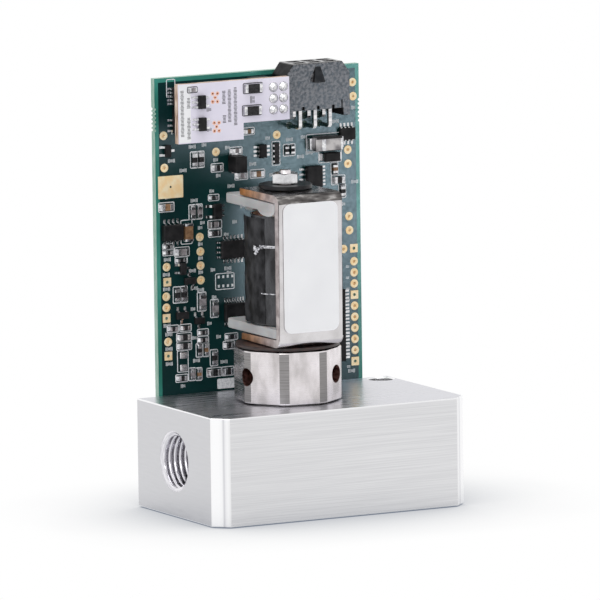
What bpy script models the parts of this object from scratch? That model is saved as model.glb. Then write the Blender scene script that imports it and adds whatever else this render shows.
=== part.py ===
"""Open-frame electronic pressure controller: an aluminium port block, a proportional
solenoid valve screwed into its top, and a circuit board screwed to its back.
Lengths are in millimetres, and part() turns them into metres."""
import math

import bmesh
import bpy
from mathutils import Matrix, Vector

# Seats and clearances
seat_gap = 0.25
running_clearance = 0.1
label_gap = 0.1

# Manifold block
block_length = 64.0
block_depth = 39.0
block_height = 24.5
corner_chamfer = 3.2
edge_break = 0.3
port_mouth_radius = 6.85
port_drill_radius = 5.75
port_depth = 14.0
port_height = 12.5
port_y = 1.4
drill_point_angle = math.radians(59)
inlet_passage_radius = 2.2
inlet_passage_drop = 3.0
outlet_passage_radius = 1.8
outlet_passage_rise = 3.4
sensor_passage_radius = 1.0
gallery_width = 1.5
gallery_rise = 1.1
gallery_length = 4.6
base_screw_spacing = 24.0
base_screw_drill_radius = 1.65
base_screw_depth = 5.5
corner_hole_radius = 2.9
corner_hole_depth = 9.0
corner_hole_inset = 3.6

# Valve stack, on its own upright axis
valve_x = -3.75
valve_y = 0.0
collar_radius = 12.05
collar_height = 11.9
collar_flats = 8
flat_half_angle = math.radians(17.3)
first_flat_angle = math.radians(36.0)
spanner_hole_radius = 2.05
spanner_hole_count = 3
first_spanner_angle = math.radians(71.4)
spigot_radius = 8.5
spigot_length = 10.0
spigot_lead_in = 0.6
groove_drop = 2.6
cavity_lead_in = 0.8
core_bore_radius = 4.35
tube_bore_radius = 5.0
tube_shoulder_rise = 1.9
outlet_drill_radius = 1.2
outlet_drill_count = 4
insert_height = 2.3
nozzle_radius = 1.6
nozzle_rise = 1.6
orifice_radius = 0.6
riser_wall = 1.0
o_ring_wire = 0.65
seat_ring_wire = 0.45

# Solenoid
gasket_thickness = 0.7
gasket_radius = 11.7
bracket_width = 16.0
bracket_height = 34.3
bracket_sheet = 1.6
bracket_bend_radius = 1.9
bracket_front = 11.65
bracket_reach = 6.9
flange_thickness = 2.2
flange_back = 14.35
flange_corner_radius = 1.3
barrel_wall = 0.8
tube_outer_radius = 4.7
tube_wall = 0.5
winding_thickness = 1.35
tape_radius = 8.1
lip_height = 1.1
lip_length = 8.0
lip_thickness = 1.4
lip_setback = 4.3
terminal_block_width = 6.0
terminal_block_drop = 2.0
terminal_block_depth = 4.0
terminal_pitch = 3.4
terminal_reach = 3.0
core_chamfer = 0.4
plunger_length = 24.0
plunger_stroke = 0.5
lift_clearance = 0.3
poppet_radius = 2.2
poppet_thickness = 1.6
spring_radius = 1.7
spring_wire = 0.25
spring_turns = 6
spring_pocket_depth = 6.0
stud_radius = 1.5
disc_radius = 6.0
disc_thickness = 0.9
nut_across_flats = 5.5
nut_height = 2.2
label_width = 13.8
label_height = 29.2
label_thickness = 0.15
label_corner_radius = 1.8
label_rise = 0.7

# Main board
board_width = 52.0
board_offset = -0.25
board_above_block = 71.9
board_bottom = 2.0
board_thickness = 1.6
board_screw_spacing_x = 44.0
board_screw_spacing_z = 15.5
board_screw_radius = 1.5
board_screw_depth = 8.0
screw_head_radius = 2.8
screw_head_height = 2.0
screw_socket_radius = 1.2
screw_socket_depth = 1.1
screw_tip_gap = 0.6
screw_crown_chamfer = 0.8
screw_tip_chamfer = 0.4
sensor_x = 12.0
sensor_z = 15.5
sensor_radius = 3.8
sensor_pocket_depth = 5.0
sensor_nose_radius = 1.3
sensor_nose_height = 0.7
sensor_vent_radius = 0.5
sensor_chamfer = 0.4
sensor_clearance = 0.7
sensor_ring_wire = 0.38
pin_width = 0.8
pin_hole_radius = 0.85
pin_tail = 1.2
pin_bend_chamfer = 0.6

# Power connector at the board's top right
connector_width = 16.35
connector_depth = 6.7
connector_height = 10.7
connector_inset = 5.95
connector_rise = 1.8
connector_chamfer_x = 1.9
connector_chamfer_z = 2.6
connector_wall = 0.9
connector_columns = 3
connector_rows = 2
column_pitch = 3.81
row_pitch = 3.0
cavity_depth = 8.0
foot_drop = 1.7
foot_width = 1.8
latch_width = 2.8
latch_height = 3.6
latch_depth = 1.1
latch_inset = 0.8
bent_pin_drop = 4.4
back_row_rise = 2.0
pin_recess = 2.2

# Daughter card, carried on a six-way stacking header
card_left_inset = 0.1
card_top_inset = 0.2
card_width = 28.15
card_height = 13.4
card_notch_width = 11.7
card_notch_height = 3.7
card_thickness = 1.6
card_stand_off = 9.75
header_pitch = 2.54
header_inset_x = 2.75
header_inset_z = 4.7
header_strip_height = 2.54
header_joint = 0.9
header_pin_width = 0.64
header_hole_radius = 0.72

MM = 0.001
FINE_STEPS, PLAIN_STEPS, COARSE_STEPS, SMALL_STEPS = 40, 24, 16, 12


def point_on(radius, angle):
    return (radius * math.cos(angle), radius * math.sin(angle))


def arc(centre, radius, start, end, steps):
    """Points along an arc, both ends included, with the angles in degrees."""
    turn = math.radians(end - start) / steps
    first = math.radians(start)
    return [(centre[0] + radius * math.cos(first + turn * i), centre[1] + radius * math.sin(first + turn * i))
            for i in range(steps + 1)]


def rounded_rectangle(x0, x1, y0, y1, radius, steps=5):
    return (arc((x1 - radius, y0 + radius), radius, -90, 0, steps)
            + arc((x1 - radius, y1 - radius), radius, 0, 90, steps)
            + arc((x0 + radius, y1 - radius), radius, 90, 180, steps)
            + arc((x0 + radius, y0 + radius), radius, 180, 270, steps))


def prism(outline, low, high):
    """A flat outline, listed anticlockwise, extruded along Z from low to high."""
    mesh = bmesh.new()
    face = mesh.faces.new([mesh.verts.new((x, y, low)) for x, y in outline])
    grown = bmesh.ops.extrude_face_region(mesh, geom=[face], use_keep_orig=True)
    raised = [v for v in grown["geom"] if isinstance(v, bmesh.types.BMVert)]
    bmesh.ops.translate(mesh, vec=(0, 0, high - low), verts=raised)
    bmesh.ops.recalc_face_normals(mesh, faces=mesh.faces)
    return mesh


def box(x0, x1, y0, y1, z0, z1):
    return prism([(x0, y0), (x1, y0), (x1, y1), (x0, y1)], z0, z1)


def turned(profile, steps):
    """A closed outline of (radius, height) points turned about Z. It may touch the axis."""
    mesh = bmesh.new()
    rings = []
    for radius, height in profile:
        spots = [point_on(radius, math.tau * i / steps) for i in range(steps if radius else 1)]
        rings.append([mesh.verts.new((x, y, height)) for x, y in spots])
    for near, far in zip(rings, rings[1:] + rings[:1]):
        for i in range(steps):
            after = i + 1
            loop = (near[i % len(near)], near[after % len(near)], far[after % len(far)], far[i % len(far)])
            corners = list(dict.fromkeys(loop))
            if len(corners) > 2:
                mesh.faces.new(corners)
    bmesh.ops.recalc_face_normals(mesh, faces=mesh.faces)
    return mesh


def rod(radius, low, high, steps):
    return turned([(0, low), (radius, low), (radius, high), (0, high)], steps)


def tube(inner, outer, low, high, steps):
    return turned([(inner, low), (outer, low), (outer, high), (inner, high)], steps)


def ring(centre_radius, wire_radius, height, steps, sides=10):
    """An O-ring: a round wire turned about Z."""
    wire = [(centre_radius + wire_radius * math.cos(math.tau * i / sides),
             height + wire_radius * math.sin(math.tau * i / sides)) for i in range(sides)]
    return turned(wire, steps)


def spring(coil_radius, wire_radius, low, high, turns, steps_per_turn=10, sides=6):
    """A compression spring: a round wire carried along a helix, its ends closed by a flat cap."""
    mesh = bmesh.new()
    count = turns * steps_per_turn
    rise = (high - low - 2 * wire_radius) / count
    rings = []
    for step in range(count + 1):
        turn = math.tau * step / steps_per_turn
        wire_ring = []
        for side in range(sides):
            outward, upward = point_on(wire_radius, math.tau * side / sides)
            x, y = point_on(coil_radius + outward, turn)
            wire_ring.append(mesh.verts.new((x, y, low + wire_radius + rise * step + upward)))
        rings.append(wire_ring)
    for near, far in zip(rings, rings[1:]):
        for i in range(sides):
            mesh.faces.new((near[i], near[i - 1], far[i - 1], far[i]))
    mesh.faces.new(rings[0])
    mesh.faces.new(rings[-1][::-1])
    bmesh.ops.recalc_face_normals(mesh, faces=mesh.faces)
    return mesh


def along_x(mesh):
    """Turns a shape made along Z so that it lies along +X."""
    mesh.transform(Matrix.Rotation(math.radians(90), 4, "Y"))
    return mesh


def along_y(mesh):
    """Turns a shape made along Z so that it lies along +Y."""
    mesh.transform(Matrix.Rotation(math.radians(-90), 4, "X"))
    return mesh


def moved(mesh, x=0.0, y=0.0, z=0.0):
    bmesh.ops.translate(mesh, vec=(x, y, z), verts=mesh.verts)
    return mesh


def turned_by(mesh, angle):
    mesh.transform(Matrix.Rotation(angle, 4, "Z"))
    return mesh


def material(name, colour, roughness, metallic=0.0):
    finish = bpy.data.materials.new(name)
    finish.use_nodes = True
    shader = finish.node_tree.nodes["Principled BSDF"]
    shader.inputs["Base Color"].default_value = (*colour, 1.0)
    shader.inputs["Roughness"].default_value = roughness
    shader.inputs["Metallic"].default_value = metallic
    return finish


def linked(name, mesh, parent):
    """Makes a Blender object from a shape in millimetres."""
    mesh.transform(Matrix.Scale(MM, 4))
    data = bpy.data.meshes.new(name)
    mesh.to_mesh(data)
    mesh.free()
    thing = bpy.data.objects.new(name, data)
    bpy.context.collection.objects.link(thing)
    thing.parent = parent
    return thing


def part(name, mesh, finish, parent, place=(0, 0, 0)):
    thing = linked(name, mesh, parent)
    thing.location = Vector(place) * MM
    thing.data.materials.append(finish)
    thing.data.shade_smooth()
    thing.data.set_sharp_from_angle(angle=math.radians(32))
    return thing


def combine(thing, meshes, operation):
    """Adds shapes to a part, or cuts them away, with one live Boolean. The shapes lie apart."""
    whole = bmesh.new()
    for mesh in meshes:
        data = bpy.data.meshes.new("shape")
        mesh.to_mesh(data)
        mesh.free()
        whole.from_mesh(data)
        bpy.data.meshes.remove(data)
    tool = linked(thing.name + "_" + operation.lower(), whole, thing)
    tool.hide_render = True
    tool.display_type = "WIRE"
    step = thing.modifiers.new(operation.title(), "BOOLEAN")
    step.operation = operation
    step.solver = "EXACT"
    step.object = tool


def cut(thing, *meshes):
    combine(thing, meshes, "DIFFERENCE")


def join(thing, *meshes):
    combine(thing, meshes, "UNION")


def datum(name, place, parent=None, turn=(0, 0, 0)):
    empty = bpy.data.objects.new(name, None)
    bpy.context.collection.objects.link(empty)
    empty.location = Vector(place) * MM
    empty.rotation_euler = turn
    empty.parent = parent
    return empty


for old in list(bpy.data.objects):
    bpy.data.objects.remove(old)

aluminium = material("brushed aluminium", (0.80, 0.80, 0.82), 0.35, 1.0)
steel = material("stainless steel", (0.72, 0.70, 0.68), 0.25, 1.0)
plated = material("plated steel sheet", (0.78, 0.76, 0.74), 0.2, 1.0)
copper = material("copper wire", (0.72, 0.35, 0.20), 0.35, 1.0)
brass = material("brass", (0.75, 0.58, 0.30), 0.3, 1.0)
grey_plastic = material("grey plastic", (0.45, 0.45, 0.45), 0.5)
black_plastic = material("black plastic", (0.03, 0.03, 0.035), 0.5)
black_tape = material("black tape", (0.04, 0.04, 0.045), 0.4)
rubber = material("black rubber", (0.02, 0.02, 0.02), 0.7)
white_film = material("white film", (0.85, 0.85, 0.86), 0.45)
solder_mask = material("green solder mask", (0.01, 0.07, 0.07), 0.35)
white_mask = material("white solder mask", (0.70, 0.68, 0.76), 0.4)
chip_black = material("moulded chip", (0.02, 0.02, 0.022), 0.5)
tinned = material("tinned metal", (0.80, 0.80, 0.80), 0.25, 1.0)
ceramic_brown = material("brown ceramic", (0.22, 0.14, 0.08), 0.5)

base = datum("base_datum", (0, 0, 0))
valve = datum("valve_axis", (valve_x, valve_y, 0), base)

# Manifold block: machined bar with a threaded port at each end and a stepped valve cavity
block_back = block_depth / 2
half_length = block_length / 2
spigot_bottom = block_height + seat_gap - spigot_length
cavity_floor = spigot_bottom - seat_gap
cavity_radius = spigot_radius + seat_gap
gallery_radius = cavity_radius + gallery_width
gallery_bottom = cavity_floor + gallery_rise
gallery_top = gallery_bottom + gallery_length
riser_radius = orifice_radius + riser_wall
inlet_passage_z = port_height - inlet_passage_drop
outlet_passage_z = port_height + outlet_passage_rise
board_front = block_back + seat_gap

outline = [(-half_length, block_back), (-half_length, -block_back + corner_chamfer),
           (-half_length + corner_chamfer, -block_back), (half_length - corner_chamfer, -block_back),
           (half_length, -block_back + corner_chamfer), (half_length, block_back)]
block = part("manifold_block", prism(outline, 0, block_height), aluminium, base)
edge_bevel = block.modifiers.new("Edge break", "BEVEL")
edge_bevel.width = edge_break * MM
edge_bevel.segments = 1
edge_bevel.limit_method = "ANGLE"

countersink = port_mouth_radius - port_drill_radius
cone_depth = port_drill_radius / math.tan(drill_point_angle)
port_profile = [(0, -port_depth - cone_depth), (port_drill_radius, -port_depth),
                (port_drill_radius, -countersink), (port_mouth_radius, 0), (port_mouth_radius, 1), (0, 1)]
cavities = []
for side in (-1, 1):
    port = along_x(turned(port_profile, FINE_STEPS))
    if side < 0:
        port.transform(Matrix.Rotation(math.pi, 4, "Z"))
    cavities.append(moved(port, side * half_length, port_y, port_height))

valve_cavity = [(0, cavity_floor), (cavity_radius, cavity_floor), (cavity_radius, gallery_bottom),
                (gallery_radius, gallery_bottom), (gallery_radius, gallery_top),
                (cavity_radius, gallery_top + cavity_lead_in), (cavity_radius, block_height - cavity_lead_in),
                (cavity_radius + cavity_lead_in, block_height),
                (cavity_radius + cavity_lead_in, block_height + 1),
                (0, block_height + 1)]
cavities.append(moved(turned(valve_cavity, FINE_STEPS), valve_x, valve_y))

inlet_start = -half_length + port_depth - 1
inlet_end = valve_x + 0.8 * inlet_passage_radius
inlet_passage = along_x(rod(inlet_passage_radius, inlet_start, inlet_end, COARSE_STEPS))
inlet_passage = moved(inlet_passage, 0, valve_y, inlet_passage_z)
riser = rod(riser_radius, inlet_passage_z - 0.5, cavity_floor + 0.5, COARSE_STEPS)
outlet_end = half_length - port_depth + 1
outlet_start = valve_x + cavity_radius - 1
outlet_passage = along_x(rod(outlet_passage_radius, outlet_start, outlet_end, COARSE_STEPS))
outlet_passage = moved(outlet_passage, 0, valve_y, outlet_passage_z)

pocket_radius = sensor_radius + sensor_clearance
pocket_floor = block_back - sensor_pocket_depth
sensor_pocket = along_y(rod(pocket_radius, pocket_floor, block_back + 1, PLAIN_STEPS))
cavities.append(moved(sensor_pocket, sensor_x, 0, sensor_z))
sensor_passage = along_y(rod(sensor_passage_radius, valve_y + 0.4, pocket_floor + 0.5, COARSE_STEPS))

screw_hole_radius = board_screw_radius + seat_gap
board_centre_x = board_offset
screw_middle_z = block_height / 2
screw_places = [(board_centre_x + sx * board_screw_spacing_x / 2,
                 screw_middle_z + sz * board_screw_spacing_z / 2) for sx in (-1, 1) for sz in (-1, 1)]
hole_floor = block_back - board_screw_depth - screw_tip_gap
for x, z in screw_places:
    screw_hole = along_y(rod(screw_hole_radius, hole_floor, block_back + 1, COARSE_STEPS))
    cavities.append(moved(screw_hole, x, 0, z))
for side in (-1, 1):
    base_hole = rod(base_screw_drill_radius, -1, base_screw_depth, COARSE_STEPS)
    cavities.append(moved(base_hole, side * base_screw_spacing / 2))
corner_x = half_length - corner_hole_inset
corner_y = block_back - corner_hole_inset
corner_hole = rod(corner_hole_radius, block_height - corner_hole_depth, block_height + 1, PLAIN_STEPS)
cavities.append(moved(corner_hole, corner_x, corner_y))
cut(block, *cavities)
cut(block, inlet_passage, outlet_passage)
cut(block, moved(riser, valve_x, valve_y), moved(sensor_passage, sensor_x, 0, sensor_z))

# Valve body: turned stainless collar with eight flats and spanner holes, over a screwed spigot
collar_bottom = block_height + seat_gap
collar_top = collar_bottom + collar_height
shoulder_z = collar_bottom + tube_shoulder_rise
collar_outline = []
for flat in range(collar_flats):
    middle = first_flat_angle + math.tau * flat / collar_flats
    land = math.tau / collar_flats - 2 * flat_half_angle
    collar_outline.append(point_on(collar_radius, middle - flat_half_angle))
    for step in range(3):
        collar_outline.append(point_on(collar_radius, middle + flat_half_angle + land * step / 3))
groove_middle = collar_bottom - groove_drop
groove_half = o_ring_wire + seat_gap
groove_radius = spigot_radius - 2 * o_ring_wire
groove_floor = groove_middle - groove_half
groove_roof = groove_middle + groove_half
body = part("valve_body", prism(collar_outline, collar_bottom, collar_top), steel, valve)
spigot_profile = [(0, spigot_bottom), (spigot_radius - spigot_lead_in, spigot_bottom),
                  (spigot_radius, spigot_bottom + spigot_lead_in), (spigot_radius, groove_floor),
                  (groove_radius, groove_floor), (groove_radius, groove_roof),
                  (spigot_radius, groove_roof), (spigot_radius, collar_bottom + 1),
                  (0, collar_bottom + 1)]
join(body, turned(spigot_profile, FINE_STEPS))
bore_profile = [(0, spigot_bottom - 1), (core_bore_radius, spigot_bottom - 1), (core_bore_radius, shoulder_z),
                (tube_bore_radius, shoulder_z), (tube_bore_radius, collar_top + 1), (0, collar_top + 1)]
cut(body, turned(bore_profile, FINE_STEPS))
spanner_z = collar_bottom + collar_height / 2
cross_holes = []
for index in range(spanner_hole_count):
    hole = along_x(rod(spanner_hole_radius, tube_bore_radius - 0.6, collar_radius + 1, PLAIN_STEPS))
    hole_angle = first_spanner_angle + math.tau * index / spanner_hole_count
    cross_holes.append(moved(turned_by(hole, hole_angle), 0, 0, spanner_z))
outlet_drill_z = gallery_top - outlet_drill_radius - 0.3
for index in range(outlet_drill_count):
    hole = along_x(rod(outlet_drill_radius, core_bore_radius - 0.6, spigot_radius + 1, SMALL_STEPS))
    cross_holes.append(moved(turned_by(hole, math.tau * index / outlet_drill_count), 0, 0, outlet_drill_z))
cut(body, *cross_holes)

body_ring_radius = cavity_radius - o_ring_wire - running_clearance
part("body_o_ring", ring(body_ring_radius, o_ring_wire, groove_middle, FINE_STEPS, 8), rubber, valve)

# Valve seat: a nozzle insert in the spigot's mouth, with a face seal under it
insert_radius = core_bore_radius - seat_gap
insert_top = spigot_bottom + insert_height
nozzle_top = insert_top + nozzle_rise
seal_radius = riser_radius + 0.5 + seat_ring_wire
seal_z = spigot_bottom + seat_ring_wire
seat_profile = [(orifice_radius, spigot_bottom), (seal_radius - seat_ring_wire - seat_gap, spigot_bottom),
                (seal_radius - seat_ring_wire - seat_gap, seal_z + seat_ring_wire + seat_gap),
                (seal_radius + seat_ring_wire + seat_gap, seal_z + seat_ring_wire + seat_gap),
                (seal_radius + seat_ring_wire + seat_gap, spigot_bottom), (insert_radius, spigot_bottom),
                (insert_radius, insert_top), (nozzle_radius, insert_top),
                (orifice_radius + 0.3, nozzle_top), (orifice_radius, nozzle_top)]
part("valve_seat", turned(seat_profile, PLAIN_STEPS), brass, valve)
part("seat_o_ring", ring(seal_radius, seat_ring_wire, seal_z, PLAIN_STEPS, 6), rubber, valve)

# Flux bracket: one plated strip bent to a C, closed by the pole piece's stud
gasket_bottom = collar_top + seat_gap
bracket_bottom = gasket_bottom + gasket_thickness + seat_gap
bracket_top = bracket_bottom + bracket_height
half_bracket = bracket_width / 2
tube_hole_radius = tube_outer_radius + seat_gap
gasket_top = gasket_bottom + gasket_thickness
gasket = tube(tube_hole_radius, gasket_radius, gasket_bottom, gasket_top, FINE_STEPS)
part("bracket_gasket", gasket, rubber, valve)
front_corner = -bracket_front + bracket_bend_radius
inner_bend = bracket_bend_radius - bracket_sheet
inner_front = -bracket_front + bracket_sheet
strip = ([(bracket_reach, bracket_bottom), (bracket_reach, bracket_bottom + bracket_sheet)]
         + arc((front_corner, bracket_bottom + bracket_bend_radius), inner_bend, 270, 180, 3)
         + arc((front_corner, bracket_top - bracket_bend_radius), inner_bend, 180, 90, 3)
         + [(bracket_reach, bracket_top - bracket_sheet), (bracket_reach, bracket_top)]
         + arc((front_corner, bracket_top - bracket_bend_radius), bracket_bend_radius, 90, 180, 6)
         + arc((front_corner, bracket_bottom + bracket_bend_radius), bracket_bend_radius, 180, 270, 6))
bent = prism(strip, -half_bracket, half_bracket)
bent.transform(Matrix(((0, 0, 1, 0), (1, 0, 0, 0), (0, 1, 0, 0), (0, 0, 0, 1))))
bracket = part("flux_bracket", bent, plated, valve)
stud_hole_radius = stud_radius + seat_gap
cut(bracket, rod(tube_hole_radius, bracket_bottom - 1, bracket_bottom + bracket_sheet + 0.2, PLAIN_STEPS),
    rod(stud_hole_radius, bracket_top - bracket_sheet - 0.2, bracket_top + 1, COARSE_STEPS))

# Bobbin: moulded flanges on a barrel, with a wire lip at each side and a terminal block behind
flange_front = inner_front + seat_gap
lower_flange = bracket_bottom + bracket_sheet + seat_gap
upper_flange = bracket_top - bracket_sheet - seat_gap
barrel_bore = tube_outer_radius + seat_gap
barrel_radius = barrel_bore + barrel_wall
flange_outline = rounded_rectangle(-half_bracket, half_bracket, flange_front, flange_back,
                                   flange_corner_radius)
bobbin = part("coil_bobbin", prism(flange_outline, lower_flange, lower_flange + flange_thickness),
              grey_plastic, valve)
join(bobbin, prism(flange_outline, upper_flange - flange_thickness, upper_flange))
lip_top = upper_flange - flange_thickness + 0.4
lip_bottom = upper_flange - flange_thickness - lip_height
lip_middle = flange_front + lip_setback
lip_half = lip_length / 2
fittings = [rod(barrel_radius, lower_flange + 0.5, upper_flange - 0.5, PLAIN_STEPS)]
for side in (-1, 1):
    lip = prism(arc((lip_middle, lip_top), lip_half, 180, 360, 12), -lip_thickness / 2, lip_thickness / 2)
    lip.transform(Matrix(((0, 0, 1, 0), (1, 0, 0, 0), (0, 1, 0, 0), (0, 0, 0, 1))))
    squeeze = (lip_top - lip_bottom) / lip_half
    bmesh.ops.scale(lip, vec=(1, 1, squeeze), space=Matrix.Translation((0, 0, -lip_top)), verts=lip.verts)
    fittings.append(moved(lip, side * (half_bracket - lip_thickness / 2)))
half_block = terminal_block_width / 2
block_front = flange_back - terminal_block_depth
terminal_top = upper_flange - flange_thickness
fittings.append(box(-half_block, half_block, block_front, flange_back - 0.4,
                    terminal_top - terminal_block_drop, terminal_top + 0.5))
join(bobbin, *fittings)
terminal_z = terminal_top - terminal_block_drop / 2 + 0.2
bobbin_holes = [rod(barrel_bore, lower_flange - 1, upper_flange + 1, PLAIN_STEPS)]
socket_floor = flange_back - terminal_reach - seat_gap
for side in (-1, 1):
    socket = along_y(rod(pin_hole_radius, socket_floor, flange_back + 1, SMALL_STEPS))
    bobbin_holes.append(moved(socket, side * terminal_pitch / 2, 0, terminal_z))
cut(bobbin, *bobbin_holes)

winding_inner = barrel_radius + seat_gap
winding_outer = winding_inner + winding_thickness
coil_bottom = lower_flange + flange_thickness + seat_gap
coil_top = lip_bottom - seat_gap
part("coil_winding", tube(winding_inner, winding_outer, coil_bottom, coil_top, FINE_STEPS), copper, valve)
tape = tube(winding_outer + seat_gap, tape_radius, coil_bottom, coil_top, FINE_STEPS)
part("coil_tape", tape, black_tape, valve)
for index, side in enumerate((-1, 1), start=1):
    pin_end = board_front + board_thickness + pin_tail - valve_y
    half_pin = pin_width / 2
    pin = box(-half_pin, half_pin, flange_back - terminal_reach, pin_end, -half_pin, half_pin)
    part(f"coil_terminal_{index}", pin, tinned, valve, (side * terminal_pitch / 2, 0, terminal_z))

# Core: guide tube, fixed pole piece and the sprung plunger that lifts off the seat
tube_inner = tube_outer_radius - tube_wall
plunger_radius = tube_inner - running_clearance
tube_bottom = shoulder_z + seat_gap
seal_bottom = nozzle_top + seat_gap
plunger_bottom = seal_bottom + plunger_stroke
plunger_top = plunger_bottom + plunger_length
pole_bottom = plunger_top + plunger_stroke + lift_clearance
pole_head_top = upper_flange
tube_top = pole_bottom + 0.62 * (pole_head_top - pole_bottom)
part("guide_tube", tube(tube_inner, tube_outer_radius, tube_bottom, tube_top, PLAIN_STEPS), steel, valve)
stud_top = bracket_top + disc_thickness + nut_height + 3 * seat_gap + 0.4
pole_radius = tube_inner - seat_gap
pole_profile = [(0, pole_bottom), (pole_radius - core_chamfer, pole_bottom),
                (pole_radius, pole_bottom + core_chamfer),
                (pole_radius, tube_top + seat_gap), (tube_outer_radius, tube_top + seat_gap),
                (tube_outer_radius, pole_head_top), (stud_radius, pole_head_top),
                (stud_radius, stud_top - core_chamfer), (stud_radius - core_chamfer, stud_top), (0, stud_top)]
part("pole_piece", turned(pole_profile, PLAIN_STEPS), steel, valve)
pocket_wall = spring_radius + spring_wire + seat_gap
spring_floor = plunger_top - spring_pocket_depth
seal_pocket = poppet_radius + seat_gap
seal_ceiling = seal_bottom + poppet_thickness + seat_gap
plunger_profile = [(0, seal_ceiling), (seal_pocket, seal_ceiling), (seal_pocket, plunger_bottom),
                   (plunger_radius - core_chamfer, plunger_bottom),
                   (plunger_radius, plunger_bottom + core_chamfer),
                   (plunger_radius, plunger_top), (pocket_wall, plunger_top), (pocket_wall, spring_floor),
                   (0, spring_floor)]
part("plunger", turned(plunger_profile, PLAIN_STEPS), steel, valve)
poppet = rod(poppet_radius, seal_bottom, seal_bottom + poppet_thickness, COARSE_STEPS)
part("plunger_seal", poppet, rubber, valve)
coil = spring(spring_radius, spring_wire, spring_floor + seat_gap, pole_bottom - seat_gap, spring_turns)
part("plunger_spring", coil, steel, valve)

# Retaining disc and nut on the pole piece's stud, and the label on the bracket's front
disc_bottom = bracket_top + seat_gap
nut_bottom = disc_bottom + disc_thickness + seat_gap
disc = tube(stud_hole_radius, disc_radius, disc_bottom, disc_bottom + disc_thickness, FINE_STEPS)
part("retaining_disc", disc, black_plastic, valve)
nut_outline = [point_on(nut_across_flats / math.sqrt(3), math.radians(60 * i)) for i in range(6)]
nut = part("retaining_nut", prism(nut_outline, nut_bottom, nut_bottom + nut_height), tinned, valve)
cut(nut, rod(stud_hole_radius, nut_bottom - 1, nut_bottom + nut_height + 1, COARSE_STEPS))
label_outline = rounded_rectangle(-label_width / 2, label_width / 2, -label_height / 2, label_height / 2,
                                  label_corner_radius)
label = prism(label_outline, 0, label_thickness)
label.transform(Matrix.Rotation(math.radians(90), 4, "X"))
part("valve_label", label, white_film, valve,
     (0, -bracket_front - label_gap, bracket_bottom + bracket_height / 2 + label_rise))

# Main board: on its face, local X runs right, local Y up and local Z towards the viewer
board_top = block_height + board_above_block
board_left = board_centre_x - board_width / 2
board_right = board_centre_x + board_width / 2
face = datum("board_face", (0, board_front, 0), base, (math.radians(90), 0, 0))
board = part("main_board", box(board_left, board_right, board_bottom, board_top, -board_thickness, 0),
             solder_mask, face)
board_holes = [moved(rod(screw_hole_radius, -board_thickness - 1, 1, COARSE_STEPS), x, z)
               for x, z in screw_places]

# Small passives soldered to the board, as (side, x, height, width, tall, thick). A left or right
# place is measured from that edge of the board, and a middle one from its centre line.
upper_passives = [
    ("left", 10.6, -19.0, 3.4, 3.2, 0.7), ("left", 15.6, -21.2, 2.6, 1.4, 0.9),
    ("left", 2.6, -29.2, 3.4, 1.6, 0.9), ("left", 10.0, -30.8, 3.2, 2.8, 0.7),
    ("left", 14.8, -34.0, 3.0, 1.4, 0.7), ("left", 14.8, -36.0, 2.8, 1.2, 0.6),
    ("left", 14.6, -27.9, 2.2, 0.9, 0.5), ("left", 6.4, -39.6, 3.2, 2.0, 0.9),
    ("left", 3.0, -38.9, 2.4, 2.4, 0.9), ("middle", -4.3, -23.4, 2.8, 1.4, 1.0),
    ("middle", -0.2, -23.3, 3.2, 1.4, 0.8), ("middle", 4.6, -19.0, 1.3, 5.0, 0.7),
    ("middle", 8.0, -18.5, 3.0, 2.4, 0.7), ("right", 5.6, -26.2, 3.0, 1.6, 0.9),
    ("right", 6.5, -23.6, 1.5, 2.4, 0.8), ("right", 4.6, -28.8, 1.4, 2.6, 0.8),
]
lower_passives = [
    ("left", 11.2, 20.6, 2.0, 3.8, 0.7), ("left", 14.4, 18.8, 1.8, 3.8, 0.7),
    ("left", 5.8, 22.6, 3.4, 3.0, 0.7), ("left", 6.0, 17.9, 3.8, 1.8, 0.9),
    ("left", 3.8, 15.0, 2.4, 1.2, 0.6), ("left", 7.0, 15.0, 2.4, 1.2, 0.6),
    ("left", 6.6, 12.9, 3.4, 1.4, 0.8), ("left", 6.6, 10.9, 3.4, 1.4, 0.8),
    ("left", 6.2, 7.4, 2.4, 4.4, 1.2), ("left", 5.9, 3.6, 2.8, 1.3, 0.8),
    ("left", 8.5, 4.3, 1.3, 2.4, 0.8), ("left", 10.2, 4.2, 1.2, 2.4, 0.8),
    ("left", 11.4, 13.6, 2.4, 1.1, 0.6), ("left", 11.4, 11.9, 2.4, 1.1, 0.6),
    ("left", 10.4, 9.6, 1.2, 2.8, 0.8), ("left", 12.1, 9.6, 1.1, 2.8, 0.8),
    ("left", 14.1, 7.6, 1.6, 3.2, 0.8), ("left", 14.1, 4.3, 3.4, 1.6, 0.8),
    ("left", 17.6, 4.3, 2.6, 1.6, 0.8), ("left", 18.6, 12.1, 2.8, 1.0, 0.6),
    ("left", 17.9, 10.2, 2.4, 1.4, 0.7),
]


def across(side, offset):
    places = {"left": board_left + offset, "middle": board_centre_x + offset, "right": board_right - offset}
    return places[side]


passives = []
for from_level, rows in ((board_top, upper_passives), (block_height, lower_passives)):
    for side, offset, height, width, tall, thick in rows:
        x = across(side, offset)
        z = from_level + height
        passives.append(box(x - width / 2, x + width / 2, z - tall / 2, z + tall / 2, -0.3, thick))
join(board, *passives)

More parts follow.
